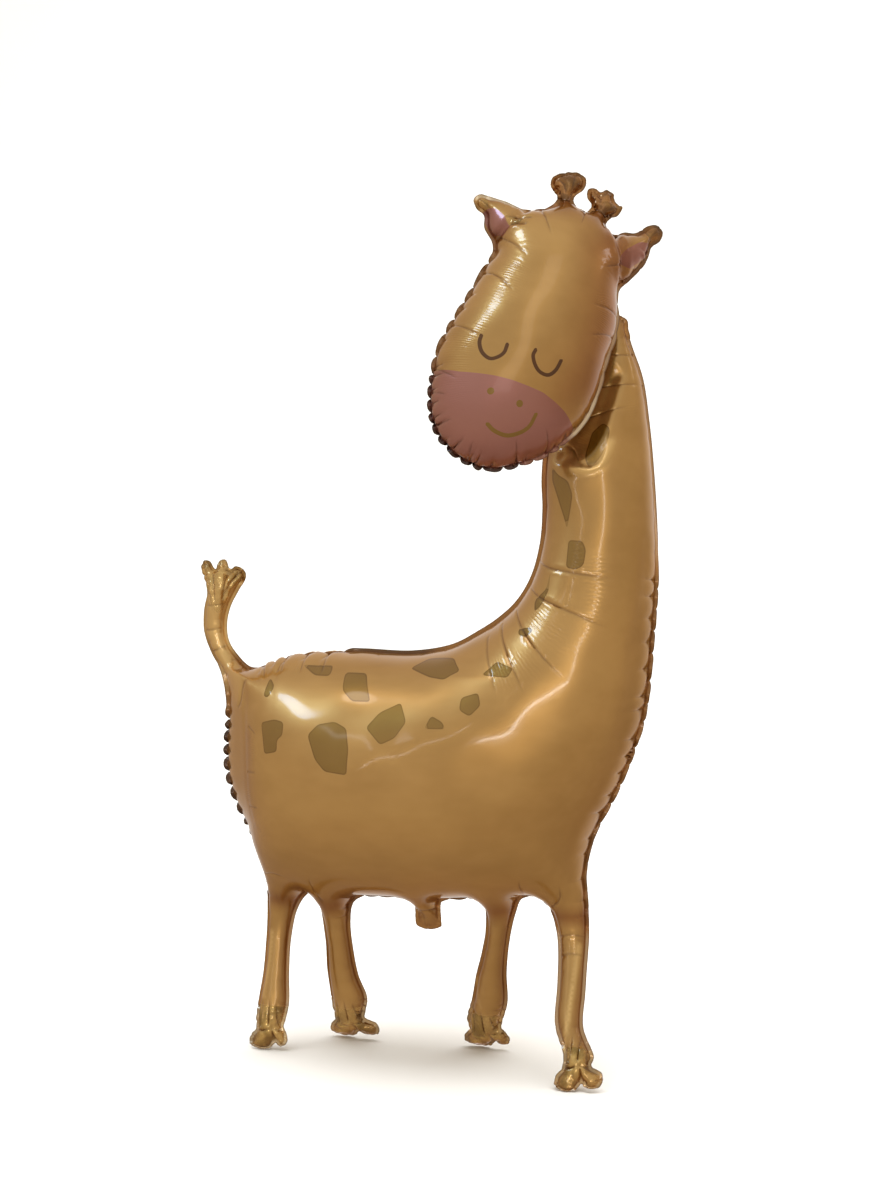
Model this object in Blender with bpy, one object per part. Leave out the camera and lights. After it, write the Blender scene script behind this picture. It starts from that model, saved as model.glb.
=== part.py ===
"""Giraffe foil balloon, standing on its own four legs.

Two sealed foil envelopes: the body (torso, neck, four legs, tail and filling tab) and the head (with ears and
horns), which is fixed in front of the top of the neck. Each envelope is two sheets welded along one outline and
blown up: it is flat in the weld and as thick as its width allows inside it. A sealed envelope is one solid.

Metres, +Z up. +X points to the chest, the near side with the face is -Y, and the origin is on the floor, under
the middle of the whole balloon. Outlines are drawn in millimetres as (x, z), and go clockwise seen from -Y.
"""

import math

import bmesh
import bpy
import numpy as np
from mathutils.geometry import delaunay_2d_cdt

MM = 0.001

# The weld, a flat rim round each envelope.
RIM_WIDTH = 4.0
RIM_HALF_THICKNESS = 0.5
# How far the sheets stand out: 1 makes a long limb round.
FULLNESS = 0.96

# Facets: the longest edge along an outline, the turn that ends an edge early, the fill spacing and the angles
# round a limb at which points are set, from the weld to its middle.
LONGEST_EDGE = 17.0
SHORTEST_EDGE = 4.0
TURN_PER_EDGE = math.radians(24)
FILL_SPACING = 30.0
ANGLES_FROM_WELD = tuple(math.radians(a) for a in (30, 60, 90))

# The legs bend out of the body's plane below the hips, near ones to -Y and far ones to +Y.
HIP_HEIGHT = 178.0
BEND_SHARE = 0.3
FLOOR_CUT_DEPTH = 7.0  # how far a hoof's outline runs below the floor before its flat sole is cut

# The upper neck turns with the head, about the neck's middle line.
NECK_TURN = math.radians(22)
NECK_MIDDLE_X = 170.0
NECK_TURN_FROM, NECK_TURN_TO = 440.0, 700.0
NECK_SIDE_FROM, NECK_SIDE_TO = -20.0, 60.0

TAIL_AND_TUFT = (
    (-263, 404), (-274, 424), (-287, 445), (-296, 469), (-296, 494), (-292, 514), (-295, 530), (-299, 542),
    (-296, 550), (-288, 550), (-281, 541), (-277, 550), (-269, 552), (-263, 542), (-255, 545), (-245, 541),
    (-243, 533), (-252, 518), (-262, 500), (-267, 481), (-265, 460), (-254, 444), (-238, 432),
)  # fmt: skip
BACK = ((-214, 441), (-196, 448), (-165, 454), (-104, 457), (-40, 457), (6, 466))
NECK_INNER = (
    (35, 481), (60, 497), (82, 517), (99, 544), (110, 580), (114, 618), (114, 650), (118, 685), (132, 722),
    (155, 763), (175, 796),
)  # fmt: skip
NECK_TIP = ((176, 809), (182, 821), (191, 824), (199, 819), (201, 807), (206, 791))
CHEST = (
    (217, 757), (224, 708), (229, 659), (234, 606), (237, 563), (237, 521), (235, 478), (232, 435), (228, 402),
    (219, 369), (207, 336), (192, 303), (177, 275), (167, 247), (162, 219),
)  # fmt: skip
# Belly from the front legs to the tab, the tab, and on to the rear legs.
BELLY_FRONT = ((36, 182), (16, 181), (-2, 178))
FILLING_TAB = ((-9, 171), (-9, 149), (-24, 143), (-39, 148), (-39, 171))
BELLY_REAR = ((-50, 176), (-82, 177), (-105, 175))
RUMP = ((-220, 192), (-226, 215), (-241, 249), (-254, 277), (-263, 311), (-264, 346), (-262, 378))

# Each leg: how far its foot stands out in y, the middle and half width of its hoof and the reach of the hoof's
# front lobe, in half widths, its edge on the chest side from hip to ankle, and on the tail side back up.
LEGS = {
    "front near": (
        -80, 172, 18, 1.65,
        ((164, 190), (166, 130), (169, 95), (172, 62)),
        ((140, 62), (136, 100), (132, 130), (127, 155), (117, 180)),
    ),
    "front far": (
        60, 28, 22, 1.2,
        ((86, 186), (80, 172), (71, 140), (62, 98), (58, 60)),
        ((16, 62), (25, 92), (36, 122), (43, 148), (43, 175)),
    ),
    "rear far": (
        50, -134, 21, 1.6,
        ((-114, 167), (-118, 148), (-119, 115), (-117, 80), (-110, 52)),
        ((-155, 54), (-155, 85), (-152, 120), (-153, 152), (-157, 170)),
    ),
    "rear near": (
        -35, -203, 19, 1.15,
        ((-172, 172), (-182, 155), (-187, 125), (-186, 85), (-183, 52)),
        ((-221, 52), (-218, 85), (-218, 125), (-219, 160)),
    ),
}  # fmt: skip
# The two arches between the legs of each pair.
CROTCH_FRONT = ((102, 190),)
CROTCH_REAR = ((-164, 177),)
ANKLE_HEIGHT = 34.0

# The head's outline, upright in its own plane, from the top of the brow clockwise, with its horns and ears.
HEAD_RIGHT_HORN = ((28, 153), (32, 160), (25, 168), (24, 177), (30, 181), (37, 178), (44, 183), (52, 180), (55, 173),
                   (64, 169), (62, 159), (55, 153), (52, 146))  # fmt: skip
HEAD_RIGHT_EAR = ((61, 137), (73, 143), (86, 147), (94, 156), (103, 162), (113, 157), (113, 146), (106, 137),
                  (104, 118), (93, 95), (84, 79))  # fmt: skip
HEAD_RIGHT = ((91, 52), (94, 30), (92, 0), (92, -30), (87, -66), (72, -97), (53, -120), (30, -137), (8, -149))
HEAD_LEFT = ((-12, -153), (-36, -149), (-59, -136), (-75, -117), (-84, -92), (-88, -58), (-87, -33), (-81, -7),
             (-71, 29), (-62, 63), (-57, 77))  # fmt: skip
HEAD_LEFT_EAR = ((-60, 88), (-72, 101), (-76, 114), (-86, 119), (-91, 128), (-86, 135), (-72, 136), (-56, 136),
                 (-36, 134))  # fmt: skip
HEAD_LEFT_HORN = ((-16, 142), (-7, 151), (-7, 160), (-16, 168), (-16, 178), (-8, 185), (2, 190), (13, 191), (20, 184),
                  (19, 174), (12, 164), (14, 157))  # fmt: skip
# Its place: middle, the way the face looks (turned to +X and raised) and the lean of its top to its right.
HEAD_MIDDLE = (113.2, -74.6, 800.1)
HEAD_TURN = math.radians(30)
HEAD_RAISE = math.radians(14)
HEAD_LEAN = math.radians(17.5)


def smooth_step(value, start, end):
    """0 before start, 1 after end, and a smooth rise between them."""
    t = np.clip((value - start) / (end - start), 0, 1)
    return t * t * (3 - 2 * t)


def hoof(middle, half, toe):
    """The crumpled end of a leg, from its chest side to its tail side: two lobes with a fold between them."""
    lobes = (
        (0.92, ANKLE_HEIGHT), (0.84, 26), (toe - 0.12, 20), (toe, 11), (toe - 0.3, 3), (0.68, 2), (0.38, 8),
        (0.1, -3), (-0.4, -FLOOR_CUT_DEPTH), (-0.95, -4), (-1.3, 5), (-1.25, 14), (-0.95, 22), (-1.0, ANKLE_HEIGHT),
    )  # fmt: skip
    return [(middle + across * half, up) for across, up in lobes]


def leg_outline(name):
    _, middle, half, toe, down, up = LEGS[name]
    return [*down, *hoof(middle, half, toe), *up]


def body_outline():
    return [
        *TAIL_AND_TUFT, *BACK, *NECK_INNER, *NECK_TIP, *CHEST,
        *leg_outline("front near"), *CROTCH_FRONT, *leg_outline("front far"),
        *BELLY_FRONT, *FILLING_TAB, *BELLY_REAR,
        *leg_outline("rear far"), *CROTCH_REAR, *leg_outline("rear near"),
        *RUMP,
    ]  # fmt: skip


def head_outline():
    return [
        *HEAD_LEFT_HORN, *HEAD_RIGHT_HORN, *HEAD_RIGHT_EAR, *HEAD_RIGHT, *HEAD_LEFT, *HEAD_LEFT_EAR,
    ]  # fmt: skip


def rounded(corners):
    """A closed centripetal Catmull-Rom curve through the corners, as points a short way apart."""
    corners = np.array(corners, float)
    curve = []
    for i in range(len(corners)):
        a, b, c, d = (corners[(i + k) % len(corners)] for k in (-1, 0, 1, 2))
        ab, bc, cd = (math.sqrt(np.linalg.norm(q - p)) for p, q in ((a, b), (b, c), (c, d)))
        for t in np.linspace(0, bc, 24, endpoint=False):
            ab_point = ((-t) * a + (t + ab) * b) / ab
            bc_point = ((bc - t) * b + t * c) / bc
            cd_point = ((bc + cd - t) * c + (t - bc) * d) / cd
            first = ((bc - t) * ab_point + (t + ab) * bc_point) / (ab + bc)
            second = ((bc + cd - t) * bc_point + t * cd_point) / (bc + cd)
            curve.append(((bc - t) * first + t * second) / bc)
    return np.array(curve)


def faceted(curve):
    """Points of the curve, close together where it turns and LONGEST_EDGE apart where it is straight."""
    kept, length, turn = [curve[0]], 0.0, 0.0
    for i in range(1, len(curve)):
        before, here, after = curve[i - 1], curve[i], curve[(i + 1) % len(curve)]
        length += np.linalg.norm(here - before)
        first, second = here - before, after - here
        turn += abs(math.atan2(first[0] * second[1] - first[1] * second[0], first @ second))
        if length >= LONGEST_EDGE or (turn >= TURN_PER_EDGE and length >= SHORTEST_EDGE):
            kept.append(here)
            length, turn = 0.0, 0.0
    if np.linalg.norm(kept[-1] - kept[0]) < SHORTEST_EDGE:
        kept.pop()
    return np.array(kept)


def distance_to(outline, points):
    """How far each point is from the closed outline."""
    start, along = outline, np.roll(outline, -1, 0) - outline
    offset = points[:, None] - start[None]
    share = np.clip((offset * along).sum(2) / (along**2).sum(1), 0, 1)
    return np.sqrt(((offset - share[:, :, None] * along) ** 2).sum(2)).min(1)


def inside(outline, points):
    """Whether each point is inside the closed outline, by counting crossings."""
    start, end = outline, np.roll(outline, -1, 0)
    x, z = points[:, :1], points[:, 1:]
    level = (start[:, 1] > z) != (end[:, 1] > z)
    rise = np.where(end[:, 1] == start[:, 1], 1.0, end[:, 1] - start[:, 1])
    crossing = start[:, 0] + (z - start[:, 1]) / rise * (end[:, 0] - start[:, 0])
    return (level & (x < crossing)).sum(1) % 2 == 1


def sheet_points(outline):
    """The flat sheet's points: the outline, the inner edge of its weld, rows that follow it in, and a fill."""
    along = np.roll(outline, -1, 0) - np.roll(outline, 1, 0)
    inward = np.stack([along[:, 1], -along[:, 0]], 1) / np.linalg.norm(along, axis=1)[:, None]
    weld = outline + RIM_WIDTH * inward
    weld = weld[distance_to(outline, weld) > 0.97 * RIM_WIDTH]
    half_width = np.full(len(outline), RIM_WIDTH)
    for depth in np.arange(RIM_WIDTH + 1, 160, 1.0):
        reached = half_width >= depth - 1.5
        clear = distance_to(outline, outline + depth * inward) > 0.97 * depth
        half_width[reached & clear] = depth
    kept = [*outline, *weld]
    candidates = []
    before = np.zeros(len(outline))
    for angle in ANGLES_FROM_WELD:
        depth = (half_width - RIM_WIDTH) * (1 - math.cos(angle))
        row = outline + (RIM_WIDTH + depth)[:, None] * inward
        candidates += [(p, min(0.6 * g, 9.0)) for p, g, w in zip(row, depth - before, half_width) if w > RIM_WIDTH + 2]
        before = depth
    low, high = outline.min(0), outline.max(0)
    for j, z in enumerate(np.arange(low[1], high[1], FILL_SPACING * math.sqrt(0.75))):
        for x in np.arange(low[0] + (j % 2) * FILL_SPACING / 2, high[0], FILL_SPACING):
            candidates.append((np.array([x, z]), 0.75 * FILL_SPACING))
    places = np.array([p for p, _ in candidates])
    room = inside(outline, places) & (distance_to(outline, places) > RIM_WIDTH)
    for (point, gap), fits in zip(candidates, room):
        if fits and gap > 0 and np.linalg.norm(np.array(kept) - point, axis=1).min() >= gap:
            kept.append(point)
    return np.array(kept)


def blown_up(outline):
    """Points and triangles of the flat sheet, and how far it stands out when blown up: k times the square root
    of u, where the second derivatives of u add up to -2 and u is 0 in the weld. That is a circle on a limb."""
    points = sheet_points(outline)
    edges = [(i, (i + 1) % len(outline)) for i in range(len(outline))]
    flat, _, faces, *_ = delaunay_2d_cdt([tuple(p) for p in points], edges, [], 1, 1e-6)
    flat, faces = np.array(flat), np.array(faces)
    a, b, c = (flat[faces[:, k]] for k in range(3))
    double_area = (b - a)[:, 0] * (c - a)[:, 1] - (b - a)[:, 1] * (c - a)[:, 0]
    load = np.zeros(len(flat))
    stiffness = np.zeros((len(flat), len(flat)))
    for k in range(3):
        i, j, opposite = faces[:, k], faces[:, (k + 1) % 3], faces[:, (k + 2) % 3]
        to_i, to_j = flat[i] - flat[opposite], flat[j] - flat[opposite]
        weight = 0.5 * (to_i * to_j).sum(1) / np.abs(double_area)
        np.add.at(stiffness, (i, j), -weight)
        np.add.at(stiffness, (j, i), -weight)
        np.add.at(stiffness, (i, i), weight)
        np.add.at(stiffness, (j, j), weight)
        np.add.at(load, i, np.abs(double_area) / 3)
    free = distance_to(outline, flat) > RIM_WIDTH + 0.2
    height = np.zeros(len(flat))
    height[free] = np.linalg.solve(stiffness[np.ix_(free, free)], load[free])
    height = FULLNESS * np.sqrt(np.maximum(height, 0))
    return flat, faces, np.maximum(height, RIM_HALF_THICKNESS)


def body_sheet(flat):
    """Where the body's middle surface lies: bent out at the legs and turned in the upper neck."""
    x, z = flat[:, 0], flat[:, 1]
    y = np.zeros(len(flat))
    depth = np.maximum(HIP_HEIGHT - z, 0) / HIP_HEIGHT
    bend = np.where(depth < BEND_SHARE, depth**2 / (2 * BEND_SHARE), depth - BEND_SHARE / 2) / (1 - BEND_SHARE / 2)
    feet = np.array([leg[0] for leg in LEGS.values()])
    middles = np.array([leg[1] for leg in LEGS.values()])
    y += feet[np.abs(x[:, None] - middles).argmin(1)] * bend
    turn = NECK_TURN * smooth_step(z, NECK_TURN_FROM, NECK_TURN_TO) * smooth_step(x, NECK_SIDE_FROM, NECK_SIDE_TO)
    y += np.tan(turn) * (x - NECK_MIDDLE_X)
    return np.stack([x, y, z], 1)


def head_sheet(flat):
    """The head's plane: leaned, raised and turned, in front of the neck."""
    right = np.array([math.cos(HEAD_TURN), math.sin(HEAD_TURN), 0])
    up = np.array([
        -math.sin(HEAD_TURN) * math.sin(HEAD_RAISE), math.cos(HEAD_TURN) * math.sin(HEAD_RAISE), math.cos(HEAD_RAISE),
    ])  # fmt: skip
    across = flat[:, 0] * math.cos(HEAD_LEAN) + flat[:, 1] * math.sin(HEAD_LEAN)
    along = flat[:, 1] * math.cos(HEAD_LEAN) - flat[:, 0] * math.sin(HEAD_LEAN)
    return np.array(HEAD_MIDDLE) + across[:, None] * right + along[:, None] * up


def outward(sheet, flat):
    """The unit normal of a middle surface, towards its near side."""
    step = 0.5
    along_x = sheet(flat + [step, 0]) - sheet(flat - [step, 0])
    along_z = sheet(flat + [0, step]) - sheet(flat - [0, step])
    normal = np.cross(along_x, along_z)
    return normal / np.linalg.norm(normal, axis=1)[:, None]


def envelope(name, corners, sheet, material):
    """An inflated envelope as a closed mesh object: a near and a far sheet, joined along the outline."""
    outline = faceted(rounded(corners))
    flat, faces, height = blown_up(outline)
    middle, normal = sheet(flat), outward(sheet, flat)
    count = len(flat)
    mesh_points = np.concatenate([middle + height[:, None] * normal, middle - height[:, None] * normal])
    a, b, c = (flat[faces[:, k]] for k in range(3))
    clockwise = (b - a)[:, 0] * (c - a)[:, 1] < (b - a)[:, 1] * (c - a)[:, 0]
    faces[clockwise] = faces[clockwise][:, ::-1]
    edge = range(len(outline))
    wall = [(i, i + 1 - len(outline) * (i == edge[-1])) for i in edge]
    bm = bmesh.new()
    made = [bm.verts.new(p * MM) for p in mesh_points]
    for i, j, k in faces:
        bm.faces.new((made[i], made[j], made[k]))
        bm.faces.new((made[count + k], made[count + j], made[count + i]))
    for i, j in wall:
        bm.faces.new((made[i], made[j], made[count + j], made[count + i]))
    bmesh.ops.recalc_face_normals(bm, faces=bm.faces)
    mesh = bpy.data.meshes.new(name)
    bm.to_mesh(mesh)
    bm.free()
    mesh.materials.append(material)
    made_object = bpy.data.objects.new(name, mesh)
    bpy.context.scene.collection.objects.link(made_object)
    return made_object


def cut_soles(piece):
    """Cuts the hooves off flat at the floor, so that the balloon stands on four small soles."""
    bm = bmesh.new()
    bm.from_mesh(piece.data)
    cut = bmesh.ops.bisect_plane(
        bm, geom=[*bm.verts, *bm.edges, *bm.faces], dist=1e-6, plane_co=(0, 0, 0), plane_no=(0, 0, 1), clear_inner=True
    )
    rims = [part for part in cut["geom_cut"] if isinstance(part, bmesh.types.BMEdge)]
    bmesh.ops.holes_fill(bm, edges=rims, sides=0)
    bmesh.ops.recalc_face_normals(bm, faces=bm.faces)
    bm.to_mesh(piece.data)
    bm.free()


def foil(name, colour, roughness):
    material = bpy.data.materials.new(name)
    material.use_nodes = True
    shader = material.node_tree.nodes["Principled BSDF"]
    shader.inputs["Base Color"].default_value = (*colour, 1)
    shader.inputs["Metallic"].default_value = 0.9
    shader.inputs["Roughness"].default_value = roughness
    return material


def centre_on_floor(pieces):
    """Moves the pieces together, so that the origin is on the floor under the middle of their box."""
    points = np.array([vertex.co for piece in pieces for vertex in piece.data.vertices])
    low, high = points.min(0), points.max(0)
    for piece in pieces:
        for vertex in piece.data.vertices:
            vertex.co.x -= (low[0] + high[0]) / 2
            vertex.co.y -= (low[1] + high[1]) / 2


def main():
    for old in list(bpy.data.objects):
        bpy.data.objects.remove(old)
    collection = bpy.data.collections.new("giraffe_foil_balloon")
    bpy.context.scene.collection.children.link(collection)
    body = envelope("body_balloon", body_outline(), body_sheet, foil("champagne gold foil", (0.62, 0.43, 0.21), 0.28))
    cut_soles(body)
    head = envelope("head_balloon", head_outline(), head_sheet, foil("champagne gold foil, head", (0.64, 0.45, 0.23), 0.3))
    centre_on_floor((body, head))
    for piece in (body, head):
        bpy.context.scene.collection.objects.unlink(piece)
        collection.objects.link(piece)


main()
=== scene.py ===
"""Giraffe foil balloon: the two foil envelopes, blown up and creased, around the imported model.

Each envelope is two sheets of foil welded along one outline. Outlines are drawn in millimetres as (x, z) in the
plane of the sheet and go clockwise seen from -Y. The sheets are blown up, pinched along the weld, creased where the
neck bends, and then bent to the shape that the balloon has when it stands on its legs.
"""

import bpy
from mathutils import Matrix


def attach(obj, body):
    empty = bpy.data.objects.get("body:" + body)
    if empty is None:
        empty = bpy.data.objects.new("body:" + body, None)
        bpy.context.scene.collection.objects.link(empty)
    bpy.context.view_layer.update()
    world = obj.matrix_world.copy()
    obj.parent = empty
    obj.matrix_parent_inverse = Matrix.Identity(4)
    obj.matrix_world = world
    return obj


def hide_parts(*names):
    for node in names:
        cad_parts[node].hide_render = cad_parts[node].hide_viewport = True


bl_info = {
    "name": "Giraffe Foil Balloon",
    "version": (1, 0, 0),
    "blender": (4, 5, 0),
    "location": "3D View > Sidebar > Balloon",
    "description": "Makes a standing giraffe foil balloon from its two welded envelopes",
    "category": "Add Mesh",
}

import math
from types import SimpleNamespace

import bpy
import numpy as np
from mathutils import Matrix, Vector
from mathutils.geometry import delaunay_2d_cdt
from mathutils.kdtree import KDTree

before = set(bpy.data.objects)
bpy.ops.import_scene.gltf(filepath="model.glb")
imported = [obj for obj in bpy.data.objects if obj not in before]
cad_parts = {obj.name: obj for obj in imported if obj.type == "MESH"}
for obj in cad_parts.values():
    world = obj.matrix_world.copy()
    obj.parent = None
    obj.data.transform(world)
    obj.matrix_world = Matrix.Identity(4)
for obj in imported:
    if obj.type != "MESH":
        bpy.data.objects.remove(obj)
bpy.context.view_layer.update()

MM = 0.001
FOIL_NAME = "champagne gold foil"

# The weld's flat rim, and how far the sheets stand out of the weld: 1 makes a long limb round.
RIM_WIDTH = 4.0
RIM_HALF_THICKNESS = 0.3
FULLNESS = 0.96
PINCH_WIDTH = 1.2  # half the width of the narrow valley down a pinch
WIDE_FOLD = 1.9  # a long crease that is wider than this has no painted shade line along its bottom
FOLD_SHADE_HALF_WIDTH = 0.8  # half the width of the painted shade line along the bottom of a fold
STEEP = math.radians(62)  # rows of points follow the weld up to this angle round the sheet's side
OUTSIDE = -20.0  # how deep a point is taken to lie in a printed zone that is nowhere near
SOLVER_STEPS, SOLVED = 6000, 1e-7  # the most steps that blowing up takes, and the share of error it stops at
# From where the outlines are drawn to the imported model's origin, in x and y.
DRAWING_SHIFT = (30.814, 21.960)

# The legs bend out of the body's plane below the hips, near ones to -Y and far ones to +Y.
HIP_HEIGHT = 178.0
BEND_SHARE = 0.3
FLOOR_FOLD_HEIGHT = 7.0  # the part of a hoof this far above and below the floor folds up over it

# The upper neck turns with the head, about the neck's middle line.
NECK_TURN = math.radians(22)
NECK_MIDDLE_X = 170.0
NECK_TURN_FROM, NECK_TURN_TO = 440.0, 700.0
NECK_SIDE_FROM, NECK_SIDE_TO = -20.0, 60.0

# The rump's weld curls towards the near side, this much per mm past its start.
RUMP_TURN_FROM = -170.0
RUMP_TURN = 0.00013

TAIL_AND_TUFT = (
    (-263, 404), (-274, 424), (-287, 445), (-296, 469), (-296, 494), (-292, 514), (-295, 530), (-299, 542),
    (-296, 550), (-288, 550), (-281, 541), (-277, 550), (-269, 552), (-263, 542), (-255, 545), (-245, 541),
    (-243, 533), (-252, 518), (-262, 500), (-267, 481), (-265, 460), (-254, 444), (-238, 432),
)  # fmt: skip
BACK = ((-214, 441), (-196, 448), (-165, 454), (-104, 457), (-40, 457), (6, 466))
NECK_INNER = (
    (35, 481), (60, 497), (82, 517), (99, 544), (110, 580), (114, 618), (114, 650), (118, 685), (132, 722),
    (155, 763), (175, 796),
)  # fmt: skip
NECK_TIP = ((176, 809), (182, 821), (191, 824), (199, 819), (201, 807), (206, 791))
CHEST = (
    (217, 757), (224, 708), (229, 659), (234, 606), (237, 563), (237, 521), (235, 478), (232, 435), (228, 402),
    (219, 369), (207, 336), (192, 303), (177, 275), (167, 247), (162, 219),
)  # fmt: skip
BELLY_FRONT = ((36, 182), (16, 181), (-2, 179))
FILLING_TAB = (
    (-7.5, 176.5), (-8.6, 172), (-8.6, 162), (-8.6, 150), (-9.6, 147.8), (-24, 143.5), (-38, 147), (-39.2, 149),
    (-39.4, 162), (-39.4, 172), (-40.5, 175),
)  # fmt: skip
BELLY_REAR = ((-50, 177), (-82, 177), (-105, 175))
RUMP = ((-220, 192), (-226, 215), (-241, 249), (-254, 277), (-263, 311), (-264, 346), (-262, 378))

# Each leg: how far its foot stands out in y, the middle and half width of its hoof and the reach of the hoof's
# front lobe, in half widths, its edge on the chest side from hip to ankle, and on the tail side back up.
LEGS = {
    "front near": (
        -80, 172, 18, 1.65,
        ((164, 190), (166, 130), (169, 95), (172, 62)),
        ((140, 62), (136, 100), (132, 130), (127, 155), (117, 180)),
    ),
    "front far": (
        60, 28, 22, 1.2,
        ((86, 186), (80, 172), (71, 140), (62, 98), (58, 60)),
        ((16, 62), (25, 92), (36, 122), (43, 148), (43, 175)),
    ),
    "rear far": (
        50, -134, 21, 1.6,
        ((-114, 167), (-118, 148), (-119, 115), (-117, 80), (-110, 52)),
        ((-155, 54), (-155, 85), (-152, 120), (-153, 152), (-157, 170)),
    ),
    "rear near": (
        -35, -203, 19, 1.15,
        ((-172, 172), (-182, 155), (-187, 125), (-186, 85), (-183, 52)),
        ((-221, 52), (-218, 85), (-218, 125), (-219, 160)),
    ),
}  # fmt: skip
CROTCH_FRONT = ((102, 190),)
CROTCH_REAR = ((-164, 177),)
ANKLE_HEIGHT = 34.0

# The head's outline, upright in its own plane, from the top of the brow clockwise, with its horns and ears.
HEAD_RIGHT_HORN = (
    (28, 153), (32, 160), (25, 168), (24, 177), (30, 181), (37, 178), (44, 183), (52, 180), (55, 173), (64, 169),
    (62, 159), (55, 153), (52, 146),
)  # fmt: skip
HEAD_RIGHT_EAR = (
    (61, 137), (73, 143), (86, 147), (94, 156), (103, 162), (113, 157), (113, 146), (106, 137), (104, 118),
    (93, 95), (84, 79),
)  # fmt: skip
HEAD_RIGHT = ((91, 52), (94, 30), (92, 0), (92, -30), (87, -66), (72, -97), (53, -120), (30, -137), (8, -149))
HEAD_LEFT = (
    (-12, -153), (-36, -149), (-59, -136), (-75, -117), (-84, -92), (-88, -58), (-87, -33), (-81, -7),
    (-71, 29), (-62, 63), (-57, 77),
)  # fmt: skip
HEAD_LEFT_EAR = (
    (-60, 88), (-72, 101), (-76, 114), (-86, 119), (-91, 128), (-86, 135), (-72, 136), (-56, 136), (-36, 134),
)  # fmt: skip
HEAD_LEFT_HORN = (
    (-16, 142), (-7, 151), (-7, 160), (-16, 168), (-16, 178), (-8, 185), (2, 190), (13, 191), (20, 184), (19, 174),
    (12, 164), (14, 157),
)  # fmt: skip
HEAD_MIDDLE = (113.2, -74.6, 800.1)
HEAD_TURN = math.radians(30)
HEAD_RAISE = math.radians(14)
HEAD_LEAN = math.radians(17.5)

# How the weld puckers, clockwise: from a point to the next row's point, the pitch of its pinches, how deep one is on
# the near sheet and on the far one, how far it runs in, how far the weld is drawn in, and how much shade is painted
# on the rim and behind the lobes; less than 0 paints a highlight on the rim instead.
BODY_PUCKERS = (
    ((-262, 385), 15, 1.2, 1.2, 12, 0, 0.3),
    ((-296, 469), 15, 0.8, 0.8, 10, 0, 0),
    ((-296, 520), 8, 1.4, 1.4, 12, 0, 0),
    ((-248, 524), 16, 0.8, 0.8, 10, 0, 0),
    ((-254, 444), 15, 1.6, 1.6, 14, 0, 0.3),
    ((-232, 434), 25, 5.0, 3.0, 28, 5.0, 0),
    ((-110, 457), 34, 0.8, 0.8, 16, 0, 0.8),
    ((6, 466), 30, 0.5, 0.5, 14, 0, 0),
    ((112, 590), 30, 0.4, 0.4, 14, 0, 0),
    ((150, 755), 14, 1.4, 1.4, 12, 0, 0),
    ((206, 791), 26, 0.5, 0.5, 14, 1.5, -0.2),
    ((237, 545), 24, 2.2, 2.4, 20, 0.0, 0.15),
    ((172, 262), 24, 1.4, 1.4, 14, 1.0, 0.4),
    ((166, 150), 24, 0.5, 0.5, 10, 0, -0.3),
    ((172, 62), 9, 1.4, 1.4, 12, 0, -0.25),
    ((140, 62), 24, 0.5, 0.5, 10, 0, -0.3),
    ((120, 176), 11, 1.5, 1.5, 16, 0, 0.4),
    ((84, 182), 24, 0.5, 0.5, 10, 0, 0),
    ((58, 60), 9, 1.4, 1.4, 12, 0, -0.25),
    ((16, 62), 24, 0.5, 0.5, 10, 0, 0),
    ((43, 172), 12, 1.3, 1.3, 14, 0, 0.4),
    ((30, 182), 20, 1.6, 1.6, 14, 0, 0.6),
    ((-6, 176), 7, 1.2, 1.2, 10, 0, 0),
    ((-42, 173), 20, 1.6, 1.6, 14, 0, 0.6),
    ((-110, 173), 12, 1.3, 1.3, 14, 0, 0.4),
    ((-118, 140), 24, 0.5, 0.5, 10, 0, 0),
    ((-110, 52), 9, 1.4, 1.4, 12, 0, -0.5),
    ((-155, 54), 24, 0.5, 0.5, 10, 0, 0),
    ((-155, 165), 10, 1.5, 1.5, 16, 0, 0.4),
    ((-176, 165), 24, 0.5, 0.5, 10, 0, -0.2),
    ((-183, 52), 9, 1.4, 1.4, 12, 0, -0.5),
    ((-221, 52), 24, 0.5, 0.5, 10, 0, 0),
    ((-219, 170), 15, 1.4, 2.2, 14, 0, 0.5),
    ((-230, 225), 17, 1.4, 4.2, 20, 0.5, 1),
)  # fmt: skip
HEAD_PUCKERS = (
    ((-16, 142), 11, 1.4, 1.4, 10, 0, 0),
    ((14, 157), 12, 1.8, 1.8, 16, 0, 0.2),
    ((28, 153), 10, 1.4, 1.4, 10, 0, 0),
    ((55, 150), 12, 1.6, 1.6, 14, 0, 0.3),
    ((73, 143), 13, 1.3, 1.3, 10, 0, 0.5),
    ((84, 79), 24, 1.6, 1.6, 18, 0, -0.4),
    ((90, -50), 19, 1.2, 1.2, 16, 0, -1),
    ((70, -99), 16, 2.6, 2.8, 15, 1.0, -0.1),
    ((20, -144), 15, 2.6, 4.2, 18, 1.0, 1),
    ((-30, -151), 14, 2.6, 4.2, 18, 1.5, 1),
    ((-75, -117), 15, 2.6, 3.8, 18, 1.5, 0.8),
    ((-88, -58), 20, 2.6, 2.8, 18, 1.0, 0.4),
    ((-71, 29), 26, 1.8, 2.6, 18, 1.0, 0.5),
    ((-57, 80), 13, 1.3, 1.3, 10, 0, 0.3),
    ((-86, 135), 13, 1.3, 1.3, 10, 0, -1),
    ((-36, 134), 20, 1.6, 1.6, 14, 0, 0),
)  # fmt: skip


def smooth_step(value, start, end):
    """0 before start, 1 after end, and a smooth rise between them."""
    t = np.clip((value - start) / (end - start), 0, 1)
    return t * t * (3 - 2 * t)


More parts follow.
